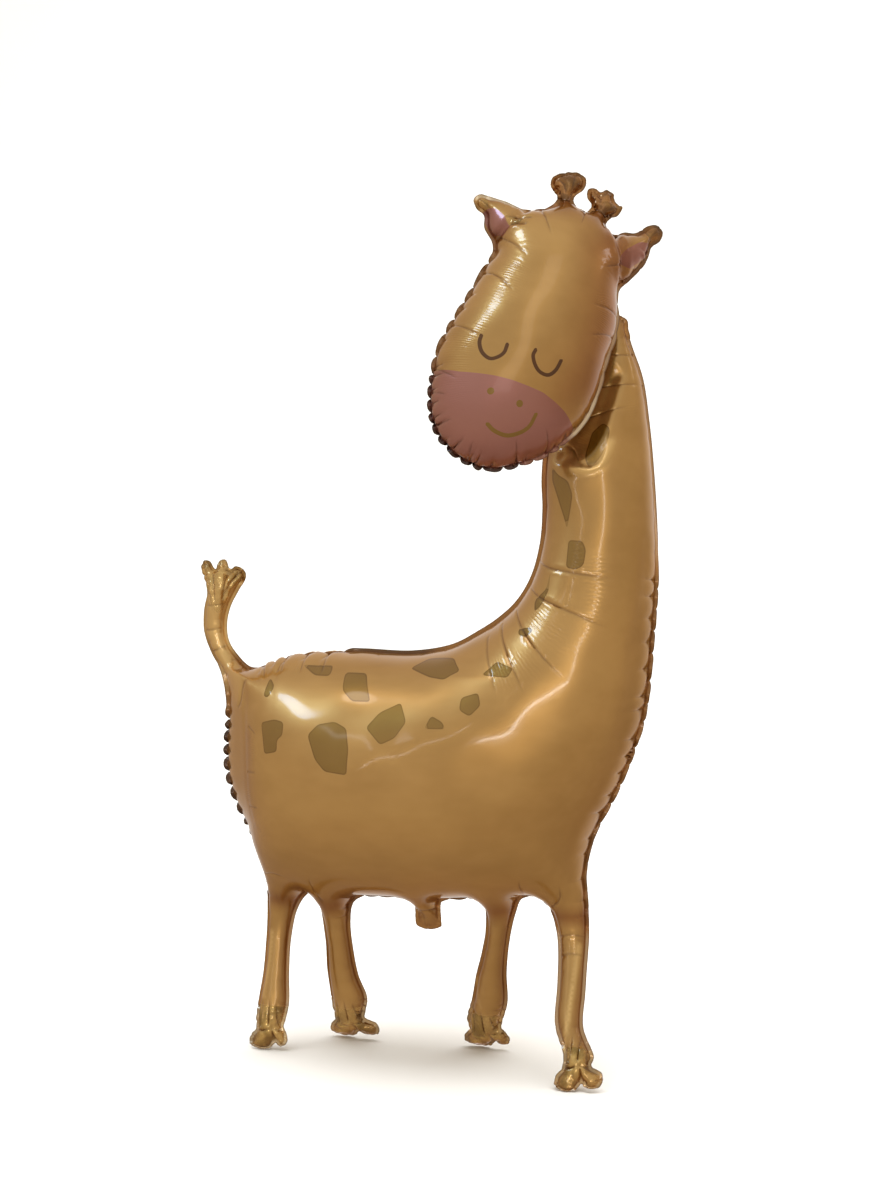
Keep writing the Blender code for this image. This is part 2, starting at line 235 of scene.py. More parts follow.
def hoof(middle, half, toe):
    """The crumpled end of a leg, from its chest side to its tail side: two lobes with a fold between them."""
    lobes = (
        (0.92, ANKLE_HEIGHT), (0.84, 26), (toe - 0.12, 20), (toe, 11), (toe - 0.3, 3), (0.68, 2), (0.38, 8),
        (0.1, -3), (-0.4, -7), (-0.95, -4), (-1.3, 5), (-1.25, 14), (-0.95, 22), (-1.0, ANKLE_HEIGHT),
    )  # fmt: skip
    return [(middle + across * half, up) for across, up in lobes]


def leg_outline(name):
    _, middle, half, toe, down, up = LEGS[name]
    return [*down, *hoof(middle, half, toe), *up]


def body_outline():
    return [
        *TAIL_AND_TUFT, *BACK, *NECK_INNER, *NECK_TIP, *CHEST,
        *leg_outline("front near"), *CROTCH_FRONT, *leg_outline("front far"),
        *BELLY_FRONT, *FILLING_TAB, *BELLY_REAR,
        *leg_outline("rear far"), *CROTCH_REAR, *leg_outline("rear near"),
        *RUMP,
    ]  # fmt: skip


def head_outline():
    return [
        *HEAD_LEFT_HORN, *HEAD_RIGHT_HORN, *HEAD_RIGHT_EAR, *HEAD_RIGHT, *HEAD_LEFT, *HEAD_LEFT_EAR,
    ]  # fmt: skip


def body_sheet(flat):
    """Where the body's middle surface lies: bent out at the legs and turned in the upper neck."""
    x, z = flat[:, 0], flat[:, 1]
    depth = np.maximum(HIP_HEIGHT - z, 0) / HIP_HEIGHT
    bend = np.where(depth < BEND_SHARE, depth**2 / (2 * BEND_SHARE), depth - BEND_SHARE / 2) / (1 - BEND_SHARE / 2)
    feet = np.array([leg[0] for leg in LEGS.values()])
    middles = np.array([leg[1] for leg in LEGS.values()])
    y = feet[np.abs(x[:, None] - middles).argmin(1)] * bend
    turn = NECK_TURN * smooth_step(z, NECK_TURN_FROM, NECK_TURN_TO) * smooth_step(x, NECK_SIDE_FROM, NECK_SIDE_TO)
    y += np.tan(turn) * (x - NECK_MIDDLE_X)
    behind = np.maximum(RUMP_TURN_FROM - x, 0) * smooth_step(z, 170, 260) * (1 - smooth_step(z, 400, 450))
    y -= RUMP_TURN * behind**3 / 6
    return np.stack([x, y, z], 1)


def head_sheet(flat):
    """The head's plane: leaned, raised and turned, in front of the neck."""
    right = np.array([math.cos(HEAD_TURN), math.sin(HEAD_TURN), 0])
    up = np.array([
        -math.sin(HEAD_TURN) * math.sin(HEAD_RAISE), math.cos(HEAD_TURN) * math.sin(HEAD_RAISE), math.cos(HEAD_RAISE),
    ])  # fmt: skip
    across = flat[:, 0] * math.cos(HEAD_LEAN) + flat[:, 1] * math.sin(HEAD_LEAN)
    along = flat[:, 1] * math.cos(HEAD_LEAN) - flat[:, 0] * math.sin(HEAD_LEAN)
    return np.array(HEAD_MIDDLE) + across[:, None] * right + along[:, None] * up


def outward(sheet, flat):
    """The unit normal of a middle surface, towards its near side."""
    step = 0.5
    along_x = sheet(flat + [step, 0]) - sheet(flat - [step, 0])
    along_z = sheet(flat + [0, step]) - sheet(flat - [0, step])
    normal = np.cross(along_x, along_z)
    return normal / np.linalg.norm(normal, axis=1)[:, None]


def rounded(corners, closed=True):
    """A centripetal Catmull-Rom curve through the corners, as points a short way apart."""
    corners = np.array(corners, float)
    if not closed:
        ends = 2 * corners[[0, -1]] - corners[[1, -2]]
        corners = np.concatenate([ends[:1], corners, ends[1:]])
    count = len(corners)
    curve = []
    for i in range(count if closed else count - 3):
        a, b, c, d = (corners[(i + k - closed) % count] for k in range(4))
        ab, bc, cd = (math.sqrt(np.linalg.norm(q - p)) for p, q in ((a, b), (b, c), (c, d)))
        t = np.linspace(0, bc, 24, endpoint=False)[:, None]
        ab_point = ((-t) * a + (t + ab) * b) / ab
        bc_point = ((bc - t) * b + t * c) / bc
        cd_point = ((bc + cd - t) * c + (t - bc) * d) / cd
        first = ((bc - t) * ab_point + (t + ab) * bc_point) / (ab + bc)
        second = ((bc + cd - t) * bc_point + t * cd_point) / (bc + cd)
        curve.append(((bc - t) * first + t * second) / bc)
    if not closed:
        curve.append(corners[-2:-1])
    return np.concatenate(curve)


def evenly(curve, spacing, closed=True):
    """The curve's points, set the same distance apart."""
    if closed:
        curve = np.concatenate([curve, curve[:1]])
    length = np.concatenate([[0], np.cumsum(np.linalg.norm(np.diff(curve, axis=0), axis=1))])
    count = max(3, round(length[-1] / spacing))
    at = np.linspace(0, length[-1], count, endpoint=False) if closed else np.linspace(0, length[-1], count + 1)
    return np.stack([np.interp(at, length, curve[:, 0]), np.interp(at, length, curve[:, 1])], 1)


def open_curve(line, spacing):
    """A smooth curve through the corners of an open line, as points that far apart."""
    return evenly(rounded(line, closed=False), spacing, closed=False)


def tree_of(points):
    tree = KDTree(len(points))
    for i, p in enumerate(points):
        tree.insert((*p, 0.0) if len(p) == 2 else p, i)
    tree.balance()
    return tree


class Weld:
    """The closed weld line of an envelope, walked by its length from its first corner."""

    def __init__(self, corners):
        self.points = evenly(rounded(corners), 1.0)
        step = np.linalg.norm(np.roll(self.points, -1, 0) - self.points, axis=1)
        self.length = step.sum()
        self.at_length = np.concatenate([[0], np.cumsum(step)[:-1]])
        along = np.roll(self.points, -2, 0) - np.roll(self.points, 2, 0)
        self.inward = np.stack([along[:, 1], -along[:, 0]], 1) / np.linalg.norm(along, axis=1)[:, None]
        self.tree = tree_of(self.points)

    def along(self, values, s):
        """A value given at every point of the weld, read at the lengths s."""
        return np.interp(s, self.at_length, values, period=self.length)

    def place(self, s):
        point = np.stack([self.along(self.points[:, k], s) for k in (0, 1)], 1)
        inward = np.stack([self.along(self.inward[:, k], s) for k in (0, 1)], 1)
        return point, inward / np.linalg.norm(inward, axis=1)[:, None]

    def nearest(self, flat):
        """The length along the weld nearest to each flat point, and how far off it is."""
        found = np.array([self.tree.find((x, z, 0))[1] for x, z in flat], int)
        best_s, best_d = self.at_length[found], np.full(len(flat), np.inf)
        for shift in (-1, 0):
            i = (found + shift) % len(self.points)
            j = (i + 1) % len(self.points)
            run = self.points[j] - self.points[i]
            t = np.clip(((flat - self.points[i]) * run).sum(1) / (run**2).sum(1), 0, 1)
            d = np.linalg.norm(flat - self.points[i] - t[:, None] * run, axis=1)
            better = d < best_d
            best_s = np.where(better, self.at_length[i] + t * np.linalg.norm(run, axis=1), best_s)
            best_d = np.where(better, d, best_d)
        return best_s, best_d


def half_widths(weld):
    """How far in from each point of the weld the middle of the envelope lies, evened out along the weld."""
    depth_reached = np.full(len(weld.points), RIM_WIDTH)
    open_yet = np.ones(len(weld.points), bool)
    for depth in np.arange(RIM_WIDTH + 1, 170, 2.0):
        rows = np.nonzero(open_yet)[0]
        if not len(rows):
            break
        _, d = weld.nearest(weld.points[rows] + depth * weld.inward[rows])
        clear = d > 0.97 * depth
        depth_reached[rows[clear]] = depth
        open_yet[rows[~clear]] = False
    width = depth_reached - RIM_WIDTH + 1
    window = np.hanning(23)
    padded = np.concatenate([width[-11:], width, width[:11]])
    return np.convolve(padded, window / window.sum(), "valid")


class Sieve:
    """Takes points one by one, in 3-D, and keeps those with room around them."""

    def __init__(self, cell):
        self.cell, self.cells = cell, {}

    def key(self, p):
        return (int(p[0] // self.cell), int(p[1] // self.cell), int(p[2] // self.cell))

    def add(self, p):
        self.cells.setdefault(self.key(p), []).append(p)

    def fits(self, p, gap):
        i, j, k = self.key(p)
        limit = gap * gap
        for a in (i - 1, i, i + 1):
            for b in (j - 1, j, j + 1):
                for c in (k - 1, k, k + 1):
                    for q in self.cells.get((a, b, c), ()):
                        if (p[0] - q[0]) ** 2 + (p[1] - q[1]) ** 2 + (p[2] - q[2]) ** 2 < limit:
                            return False
        return True


def inside(outline, points):
    """Whether each point is inside the closed outline, by counting crossings."""
    start, end = outline, np.roll(outline, -1, 0)
    result = np.zeros(len(points), bool)
    for part in np.array_split(np.arange(len(points)), max(1, len(points) // 4000)):
        x, z = points[part, :1], points[part, 1:]
        level = (start[:, 1] > z) != (end[:, 1] > z)
        rise = np.where(end[:, 1] == start[:, 1], 1.0, end[:, 1] - start[:, 1])
        crossing = start[:, 0] + (z - start[:, 1]) / rise * (end[:, 0] - start[:, 0])
        result[part] = (level & (x < crossing)).sum(1) % 2 == 1
    return result


def weld_columns(weld, near_pinches, far_pinches, spacing):
    """Lengths along the weld at which columns of points start, and how far in each one has to be close-set."""
    marks = []
    for shift in (0, -PINCH_WIDTH, PINCH_WIDTH):
        for pinches in (near_pinches, far_pinches):
            for place, reach in zip(pinches.places, pinches.reaches):
                at = (place + shift) % weld.length
                if all(abs((at - other + weld.length / 2) % weld.length - weld.length / 2) > 0.8 for other, _ in marks):
                    marks.append((at, 1.3 * reach))
    marks.sort()
    columns = []
    for (start, reach), (end, _) in zip(marks, [*marks[1:], (marks[0][0] + weld.length, 0)]):
        count = max(1, round((end - start) / spacing))
        columns += [(start + share * (end - start) / count, 0.0 if share else reach) for share in range(count)]
    return np.array(columns).T


def lay_points(weld, width, near_pinches, far_pinches, spacing, lines):
    """The flat sheet's points: rows that follow the weld inwards, closer together where the sheet will be steep,
    points along the given lines, and a fill. Returns them with the number of points on the outline, and whether
    each one lies in the weld's rim."""
    columns, close_reach = weld_columns(weld, near_pinches, far_pinches, spacing)
    is_pinch = close_reach > 0
    point, inward = weld.place(columns)
    half = weld.along(width, columns)
    kept, in_rim = [*point], [True] * len(point)
    sieve = Sieve(1.05 * spacing)
    for p in point:
        sieve.add((p[0], -RIM_WIDTH, p[1]))
    for depth in (RIM_WIDTH / 2, RIM_WIDTH):
        row = point + depth * inward
        _, d = weld.nearest(row)
        for i in np.nonzero(d > 0.97 * depth)[0]:
            place = (row[i][0], depth - RIM_WIDTH, row[i][1])
            if sieve.fits(place, 0.2 * spacing):
                sieve.add(place)
                kept.append(row[i])
                in_rim.append(True)

    def offer(flat, height, gap):
        for p, h in zip(flat, height):
            place = (p[0], h, p[1])
            if sieve.fits(place, gap):
                sieve.add(place)
                kept.append(p)
                in_rim.append(False)

    def stand(flat):
        s, d = weld.nearest(flat)
        half_here = weld.along(width, s)
        depth = np.clip(d - RIM_WIDTH, 0, half_here)
        return d, np.sqrt(np.maximum(2 * half_here * depth - depth**2, 0))

    for line in lines:
        d, height = stand(line)
        room = inside(weld.points, line) & (d > RIM_WIDTH + 0.4)
        offer(line[room], height[room], 0.34 * spacing)
    for turn in range(1, 200):
        angle = turn * spacing / half
        for chosen, gap in (((turn - 0.5) * spacing < close_reach, 0.26), (close_reach >= 0, 0.74)):
            rows = np.nonzero((angle < STEEP) & chosen)[0]
            rows = rows[np.argsort(~is_pinch[rows], kind="stable")]
            if not len(rows):
                continue
            depth = half[rows] * (1 - np.cos(angle[rows]))
            row = point[rows] + (RIM_WIDTH + depth)[:, None] * inward[rows]
            _, d = weld.nearest(row)
            clear = d > RIM_WIDTH + 0.96 * depth - 0.03
            offer(row[clear], half[rows][clear] * np.sin(angle[rows][clear]), gap * spacing)
        if (angle >= STEEP).all():
            break
    low, high = weld.points.min(0), weld.points.max(0)
    fill = []
    for j, z in enumerate(np.arange(low[1], high[1], spacing * math.sqrt(0.75))):
        xs = np.arange(low[0] + (j % 2) * spacing / 2, high[0], spacing)
        fill.append(np.stack([xs, np.full(len(xs), z)], 1))
    fill = np.concatenate(fill)
    fill = fill[inside(weld.points, fill)]
    d, height = stand(fill)
    room = d > RIM_WIDTH + 0.5
    offer(fill[room], height[room], 0.74 * spacing)
    return np.array(kept), len(point), np.array(in_rim)


def solve(faces, flat, free):
    """u at each point: its second derivatives add up to -2, and it is 0 where the points aren't free."""
    a, b, c = (flat[faces[:, k]] for k in range(3))
    double_area = np.abs((b - a)[:, 0] * (c - a)[:, 1] - (b - a)[:, 1] * (c - a)[:, 0])
    double_area = np.maximum(double_area, 1e-9)
    count = len(flat)
    load, diagonal = np.zeros(count), np.zeros(count)
    rows, columns, weights = [], [], []
    for k in range(3):
        i, j, opposite = faces[:, k], faces[:, (k + 1) % 3], faces[:, (k + 2) % 3]
        weight = 0.5 * ((flat[i] - flat[opposite]) * (flat[j] - flat[opposite])).sum(1) / double_area
        rows += [i, j]
        columns += [j, i]
        weights += [weight, weight]
        diagonal += np.bincount(i, weight, count) + np.bincount(j, weight, count)
        load += np.bincount(i, double_area / 3, count)
    rows, columns, weights = (np.concatenate(part) for part in (rows, columns, weights))
    order = np.argsort(rows, kind="stable")
    rows, columns, weights = rows[order], columns[order], weights[order]
    keep = free[rows] & free[columns]
    rows, columns, weights = rows[keep], columns[keep], weights[keep]

    def times(v):
        return diagonal * v - np.bincount(rows, weights * v[columns], count)

    load = np.where(free, load, 0)
    scale = np.where(free, 1 / np.maximum(diagonal, 1e-9), 0)
    u = np.zeros(count)
    residual = load.copy()
    direction = scale * residual
    energy = residual @ direction
    goal = SOLVED * energy
    for _ in range(SOLVER_STEPS):
        push = np.where(free, times(direction), 0)
        step = energy / (direction @ push)
        u += step * direction
        residual -= step * push
        scaled = scale * residual
        new_energy = residual @ scaled
        if new_energy < goal:
            break
        direction = scaled + (new_energy / energy) * direction
        energy = new_energy
    return np.maximum(u, 0)


def hoof_creases(middle, half, toe):
    """The folds of a hoof: a deep one up from between its lips, and shorter ones along each lip."""
    folds = (
        (((0.38, 6), (0.33, 16), (0.28, 27)), 4.4, 1.8),
        (((-1.0, 24), (-0.4, 20), (0.28, 24)), 3.0, 1.3),
        (((0.86, 26), (0.6, 22), (0.3, 25)), 2.6, 1.2),
        (((-0.5, 25), (-0.45, 38), (-0.4, 54)), 2.4, 1.1),
        (((0.1, 27), (0.08, 40), (0.05, 56)), 1.9, 1.1),
        (((0.62, 27), (0.56, 38), (0.5, 52)), 2.2, 1.1),
        (((-0.95, 1), (-0.6, 9), (-0.1, 15)), -2.0, 1.8),
        (((toe - 0.2, 8), (0.95, 12), (0.6, 17)), -2.0, 1.8),
    )
    return [(tuple((middle + x * half, z) for x, z in line), depth, width) for line, depth, width in folds]


# Long creases, seen on the near sheet: from the weld's side inwards, how deep and how wide in mm.
BODY_CREASES = (
    (((112, 563), (150, 556), (200, 543)), 1.1, 1.0),
    (((105, 536), (150, 518), (200, 492)), 1.2, 1.0),
    (((90, 512), (122, 482), (160, 444)), 1.3, 1.0),
    (((74, 497), (98, 466), (121, 428)), 1.3, 1.0),
    (((60, 484), (76, 456), (91, 424)), 0.9, 1.0),
    (((166, 781), (186, 782), (207, 781)), 1.1, 1.0),
    (((150, 748), (178, 751), (214, 750)), 1.1, 1.0),
    (((140, 713), (165, 720), (198, 728)), 1.0, 1.0),
    (((122, 690), (140, 684), (152, 664)), 0.8, 1.0),
    (((134, 149), (150, 151), (165, 150)), 0.7, 1.0),
    (((136, 127), (150, 130), (165, 130)), 0.7, 1.0),
    (((144, 665), (158, 662), (170, 667), (177, 680), (181, 694)), -1.8, 2.6),
    (((-136, 179), (-139, 192), (-138, 208)), 1.0, 1.0),
    (((99, 190), (101, 206), (105, 222)), 1.0, 1.0),
    (((-219, 436), (-208, 432), (-199, 422)), 1.3, 1.2),
    (((-191, 447), (-185, 441), (-180, 431)), 1.3, 1.2),
    (((-164, 451), (-159, 444), (-155, 433)), 1.3, 1.2),
    (((-138, 453), (-132, 445), (-127, 433)), 1.3, 1.2),
    (((224, 583), (227, 527), (223, 488), (219, 427), (210, 384), (194, 340), (176, 303)), 0.9, 4.0),
    (((-222, 373), (-212, 370), (-200, 366)), 0.8, 1.0),
    (((-221, 323), (-210, 324), (-196, 325)), 0.8, 1.0),
    (((-221, 283), (-210, 284), (-196, 285)), 0.8, 1.0),
    (((-236, 405), (-231, 366), (-226, 328), (-222, 288), (-205, 240)), 0.6, 4.0),
    (((-254, 441), (-243, 437), (-236, 428)), 1.6, 1.2),
    (((-246, 392), (-240, 404), (-228, 414)), 1.6, 1.4),
    (((-205, 202), (-190, 206), (-172, 204)), 1.0, 1.0),
    (((130, 186), (140, 196), (142, 212)), 1.0, 1.0),
    (((-293, 471), (-280, 473), (-266, 475)), 0.8, 1.0),
    (((-283, 447), (-274, 451), (-261, 457)), 0.8, 1.0),
    (((-288, 500), (-276, 501), (-264, 502)), 0.8, 1.0),
    (((-286, 551), (-280, 527), (-276, 500)), 3.2, 1.6),
    (((-262, 550), (-265, 527), (-269, 496)), 3.2, 1.6),
    (((-250, 538), (-259, 525), (-270, 506)), 2.4, 1.4),
    (((-298, 536), (-288, 522), (-280, 494)), 2.0, 1.3),
    (((-274, 551), (-272, 530), (-272, 512)), -1.8, 2.0),
    (((-243, 547), (-254, 536), (-262, 520)), -1.6, 2.0),
    (((-10, 169), (-24, 170), (-38, 169)), 1.2, 1.0),
    (((-30, 176), (-27, 166), (-28, 152)), 0.8, 1.0),
    *(crease for leg in LEGS.values() for crease in hoof_creases(leg[1], leg[2], leg[3])),
)  # fmt: skip
HEAD_CREASES = (
    (((-57, 92), (-44, 83), (-26, 68)), 1.1, 1.0),
    (((-66, 52), (-52, 43), (-31, 25)), 1.2, 1.0),
    (((-85, -12), (-70, -20), (-51, -31)), 1.1, 1.0),
    (((-88, -62), (-76, -70), (-62, -77)), 1.0, 1.0),
    (((-86, -88), (-77, -91), (-66, -94)), 1.0, 1.0),
    (((-70, -125), (-62, -120), (-54, -116)), 1.0, 1.0),
    (((-46, -146), (-42, -139), (-37, -132)), 1.0, 1.0),
    (((-24, -151), (-27, -142), (-28, -132)), 1.0, 1.0),
    (((27, -139), (20, -130), (13, -119)), 1.1, 1.0),
    (((54, -118), (48, -109), (40, -99)), 1.1, 1.0),
    (((91, 46), (74, 43), (52, 38)), 1.0, 1.0),
    (((93, 24), (76, 16), (57, 5)), 1.1, 1.0),
    (((76, 99), (68, 92), (55, 83)), 1.0, 1.0),
    (((-23, 138), (-17, 120), (-8, 98)), 1.2, 1.0),
    (((24, 153), (23, 138), (20, 120)), 1.2, 1.0),
    (((-60, 86), (-54, 100), (-47, 116)), 3.4, 3.2),
    (((-32, 116), (-44, 114), (-57, 112)), 2.2, 1.4),
    (((-36, 107), (-44, 105), (-52, 102)), 2.0, 1.4),
    (((-88, 141), (-66, 132), (-42, 124)), -1.8, 2.2),
    (((113, 158), (98, 142), (80, 122)), -1.6, 2.2),
    (((-34, 136), (-38, 124), (-46, 108)), 3.4, 3.2),
    (((86, 78), (78, 96), (70, 116)), 4.2, 3.8),
    (((60, 138), (65, 124), (72, 106)), 4.2, 3.8),
    (((-8, 152), (2, 156), (14, 158)), 1.6, 1.8),
    (((32, 158), (42, 155), (54, 151)), 1.6, 1.8),
    (((-14, 176), (-4, 172), (2, 160)), 1.8, 1.8),
    (((6, 190), (6, 178), (6, 162)), 1.8, 1.8),
    (((20, 180), (12, 172), (9, 160)), 1.5, 1.6),
    (((36, 178), (38, 170), (40, 158)), 2.0, 1.8),
    (((63, 168), (54, 164), (48, 156)), 1.8, 1.8),
    (((25, 174), (32, 168), (36, 160)), 1.4, 1.6),
    (((-88, 130), (-80, 126), (-70, 118)), 1.2, 1.0),
    (((110, 158), (103, 148), (98, 136)), 1.2, 1.0),
)  # fmt: skip

# Painted shade (above 0) and painted highlights (below 0) on the foil: along this line, so many mm to each side, and
# how much.
BODY_PAINTED_SHADE_AND_HIGHLIGHT = (
    (((-246, 412), (-262, 430), (-272, 462)), 14, -0.5),
    (((-274, 474), (-272, 516)), 26, -0.75),
    (((-196, 34), (-190, 26), (-190, 14)), 7, -0.5),
    (((146, 664), (158, 661), (170, 666), (176, 678), (180, 690)), 4.5, -1.0),
    (((-211, 46), (-209, 34)), 2.2, -0.8),
    (((36, 44), (38, 24)), 8, -0.5),
    (((-134, 46), (-132, 24)), 8, -0.5),
    (((148, 34), (146, 20)), 6, -0.4),
    (((-207, 130), (-208, 90), (-211, 58)), 2.2, -0.8),
    (((157, 140), (157, 100), (156, 40)), 2.4, -0.8),
    (((21, 130), (24, 90), (30, 60)), 2.0, -0.3),
    (((-222, 174), (-176, 168)), 11, 0.8),
    (((-156, 168), (-112, 172)), 11, 0.8),
    (((40, 174), (86, 178)), 11, 0.8),
    (((118, 174), (172, 172)), 11, 0.8),
    (((-108, 182), (0, 184), (44, 188)), 7, 0.4),
    (((112, 600), (116, 650), (122, 700), (134, 722)), 9, 0.5),
    (((-252, 446), (-240, 430), (-232, 405)), 9, 0.4),
    (((-222, 360), (-222, 300), (-214, 240), (-210, 200)), 12, 0.4),
    (((225, 560), (226, 480), (210, 370), (180, 290), (165, 240)), 9, 0.1),
)  # fmt: skip
# Painted shade and painted highlights on the head, as above.
HEAD_PAINTED_SHADE_AND_HIGHLIGHT = (
    (((-12, 158), (0, 180)), 22, 0.75),
    (((40, 158), (42, 178)), 18, 0.75),
    (((108, 150), (96, 158)), 14, 0.6),
    (((46, 96), (56, 40), (58, -20), (52, -60)), 26, 0.6),
    (((66, 118), (80, 82), (86, 40), (88, 0), (86, -40)), 22, 0.8),
    (((-46, 112), (-58, 88)), 9, 0.5),
    (((-12, 150), (12, 156)), 8, 0.5),
    (((28, 154), (58, 148)), 8, 0.6),
    (((-84, -60), (-80, -100), (-50, -140), (0, -146)), 10, 0.3),
    (((0, 140), (40, 136), (66, 122)), 12, 0.4),
)  # fmt: skip

# Where fine ripples cross the foil: along this line, so many mm to each side, and how strong they are.
BODY_RIPPLES = (
    (((180, 560), (185, 523), (187, 490)), 12, 0.9),
    (((155, 600), (157, 576), (159, 560)), 7, 0.8),
    (((120, 508), (141, 494), (158, 480)), 12, 1.0),
    (((112, 462), (123, 459), (133, 450)), 12, 0.8),
    (((84, 462), (92, 452), (98, 440)), 10, 0.5),
    (((-228, 390), (-215, 360), (-203, 345)), 12, 0.7),
    (((-226, 300), (-210, 280), (-189, 262)), 14, 0.6),
    (((176, 785), (190, 784)), 12, 0.6),
    (((168, 740), (182, 730), (194, 728)), 12, 0.8),
    (((150, 700), (168, 715), (181, 692)), 12, 0.8),
    (((133, 136), (155, 136)), 12, 0.6),
    (((-215, 428), (-170, 438), (-125, 440)), 10, 0.4),
)  # fmt: skip
HEAD_RIPPLES = (
    (((-27, 80), (-37, 50), (-46, 20)), 13, 1.0),
    (((-51, 7), (-57, -23), (-62, -37)), 9, 0.7),
    (((46, 122), (54, 102), (60, 84)), 10, 1.0),
    (((62, 48), (68, 31), (71, 8)), 9, 0.7),
    (((-16, 118), (-7, 98)), 8, 0.7),
    (((20, 140), (20, 122)), 8, 0.5),
    (((-76, -30), (-66, -60), (-62, -92)), 14, 0.6),
)  # fmt: skip

NECK_BEND_MIDDLE = (12, 580)  # the point from which the creases of the neck's bend fan out

# Between this line and the weld the neck falls back under the head.
NECK_DENT = (
    (126, 668), (144, 671), (160, 680), (170, 692), (178, 709), (183, 724), (190, 742), (196, 765), (160, 775),
    (128, 740), (112, 700),
)  # fmt: skip
NECK_DENT_DEPTH = 6.0

# The printed patches, in the plane of the sheet.
PATCHES = (
    ((-191, 380), (-170, 385), (-157, 383), (-156, 369), (-163, 364), (-162, 351), (-180, 347), (-185, 364)),
    ((-124, 372), (-113, 384), (-93, 388), (-78, 382), (-72, 360), (-72, 333), (-99, 335), (-112, 347)),
    ((-191, 426), (-181, 418), (-186, 406), (-195, 406)),
    ((-156, 441), (-117, 442), (-115, 432), (-134, 432)),
    ((-98, 436), (-72, 436), (-56, 410), (-78, 409), (-93, 419)),
    ((-55, 384), (-42, 400), (-19, 411), (-8, 392), (-19, 375), (-35, 367)),
    ((14, 386), (20, 400), (34, 394), (38, 387)),
    ((-24, 443), (-9, 453), (27, 459), (41, 448), (25, 436), (6, 437)),
    ((69, 445), (84, 463), (106, 455), (101, 443)),
    ((51, 420), (70, 426), (75, 413), (64, 401), (51, 407)),
    ((100, 498), (114, 501), (119, 497), (112, 490), (102, 492)),
    ((128, 557), (129, 538), (122, 522), (115, 516), (113, 527), (126, 540)),
    ((144, 590), (159, 588), (164, 578), (164, 562), (157, 558), (145, 561)),
    ((124, 665), (129, 657), (139, 651), (144, 636), (141, 601), (132, 625), (124, 650)),
    ((155, 680), (160, 701), (172, 711), (179, 705), (177, 692), (171, 676), (160, 662), (155, 670)),
)  # fmt: skip
# Darker gold: the four hooves, each as its leg's middle and the height that the colour reaches, and the tuft.
HOOF_TOPS = ((172, 40), (28, 50), (-134, 44), (-203, 48))
TUFT = (
    (-306, 560), (-302, 530), (-290, 515), (-281, 499), (-274, 490), (-268, 499), (-261, 516), (-247, 532),
    (-232, 545), (-240, 562),
)  # fmt: skip
# On the head: the muzzle and the insides of the ears are rose, the horns and ear tips darker gold.
MUZZLE = (
    (-110, -64), (-78, -68), (-61, -70), (-44, -69), (-27, -68), (-10, -68), (8, -69), (25, -70), (41, -74),
    (55, -78), (66, -83), (110, -96), (80, -190), (-80, -190),
)  # fmt: skip
EAR_INSIDES = (
    ((-79, 117), (-72, 105), (-64, 97), (-53, 90), (-50, 104), (-62, 118), (-71, 122)),
    ((70, 97), (75, 115), (89, 132), (103, 139), (102, 124), (94, 111), (85, 99)),
)
GILT_PARTS = (
    ((-99, 140), (-82, 142), (-77, 133), (-75, 118), (-90, 112), (-99, 122)),
    ((91, 158), (104, 168), (120, 162), (118, 141), (104, 139), (95, 146)),
    ((-26, 144), (0, 151), (17, 158), (26, 170), (22, 198), (-26, 198)),
    ((27, 152), (56, 148), (66, 156), (72, 175), (40, 196), (19, 186), (20, 166)),
    ((-57, 113), (-35, 115), (-42, 106), (-51, 101)),
)
EYES = (
    ((-51, -29), (-51, -37), (-46, -47), (-37, -52), (-30, -49), (-25, -43), (-24, -34)),
    ((5, -32), (4, -38), (9, -47), (16, -52), (25, -52), (31, -45), (34, -33)),
)
SMILE = ((-20, -115), (-12, -119), (2, -120), (14, -114), (22, -105), (25, -92))
NOSTRILS = ((-27, -84), (5, -88))
STROKE = 1.9  # half the width of a printed line
NOSTRIL_RADIUS = 3.6


def distance_to_line(points, line, closed=False):
    """How far each point is from a run of straight pieces, and how far along the run its nearest place is."""
    start = line if closed else line[:-1]
    run = (np.roll(line, -1, 0) if closed else line[1:]) - start
    length = np.linalg.norm(run, axis=1)
    offset = points[:, None] - start[None]
    share = np.clip((offset * run).sum(2) / (length**2), 0, 1)
    distance = np.sqrt(((offset - share[:, :, None] * run) ** 2).sum(2))
    nearest = distance.argmin(1)
    rows = np.arange(len(points))
    travelled = np.concatenate([[0], np.cumsum(length)])
    return distance[rows, nearest], (travelled[nearest] + share[rows, nearest] * length[nearest]) / travelled[-1]


def near_box(points, line, margin):
    """The rows of the points that lie no further than the margin from the line's box."""
    low, high = line.min(0) - margin, line.max(0) + margin
    return np.nonzero(((points > low) & (points < high)).all(1))[0]


def within(flat, shapes):
    """How deep each flat point lies inside the closed shapes, in mm; less than 0 outside them."""
    depth = np.full(len(flat), OUTSIDE)
    for shape in shapes:
        rows = near_box(flat, shape, -OUTSIDE)
        distance, _ = distance_to_line(flat[rows], shape, closed=True)
        signed = np.where(inside(shape, flat[rows]), distance, -distance)
        depth[rows] = np.maximum(depth[rows], signed)
    return depth


def on_strokes(flat, strokes, half_width):
    """How deep each flat point lies inside printed lines, in mm; less than 0 outside them."""
    depth = np.full(len(flat), OUTSIDE)
    for stroke in strokes:
        rows = near_box(flat, stroke, -OUTSIDE)
        distance, _ = distance_to_line(flat[rows], stroke)
        depth[rows] = np.maximum(depth[rows], half_width - distance)
    return depth


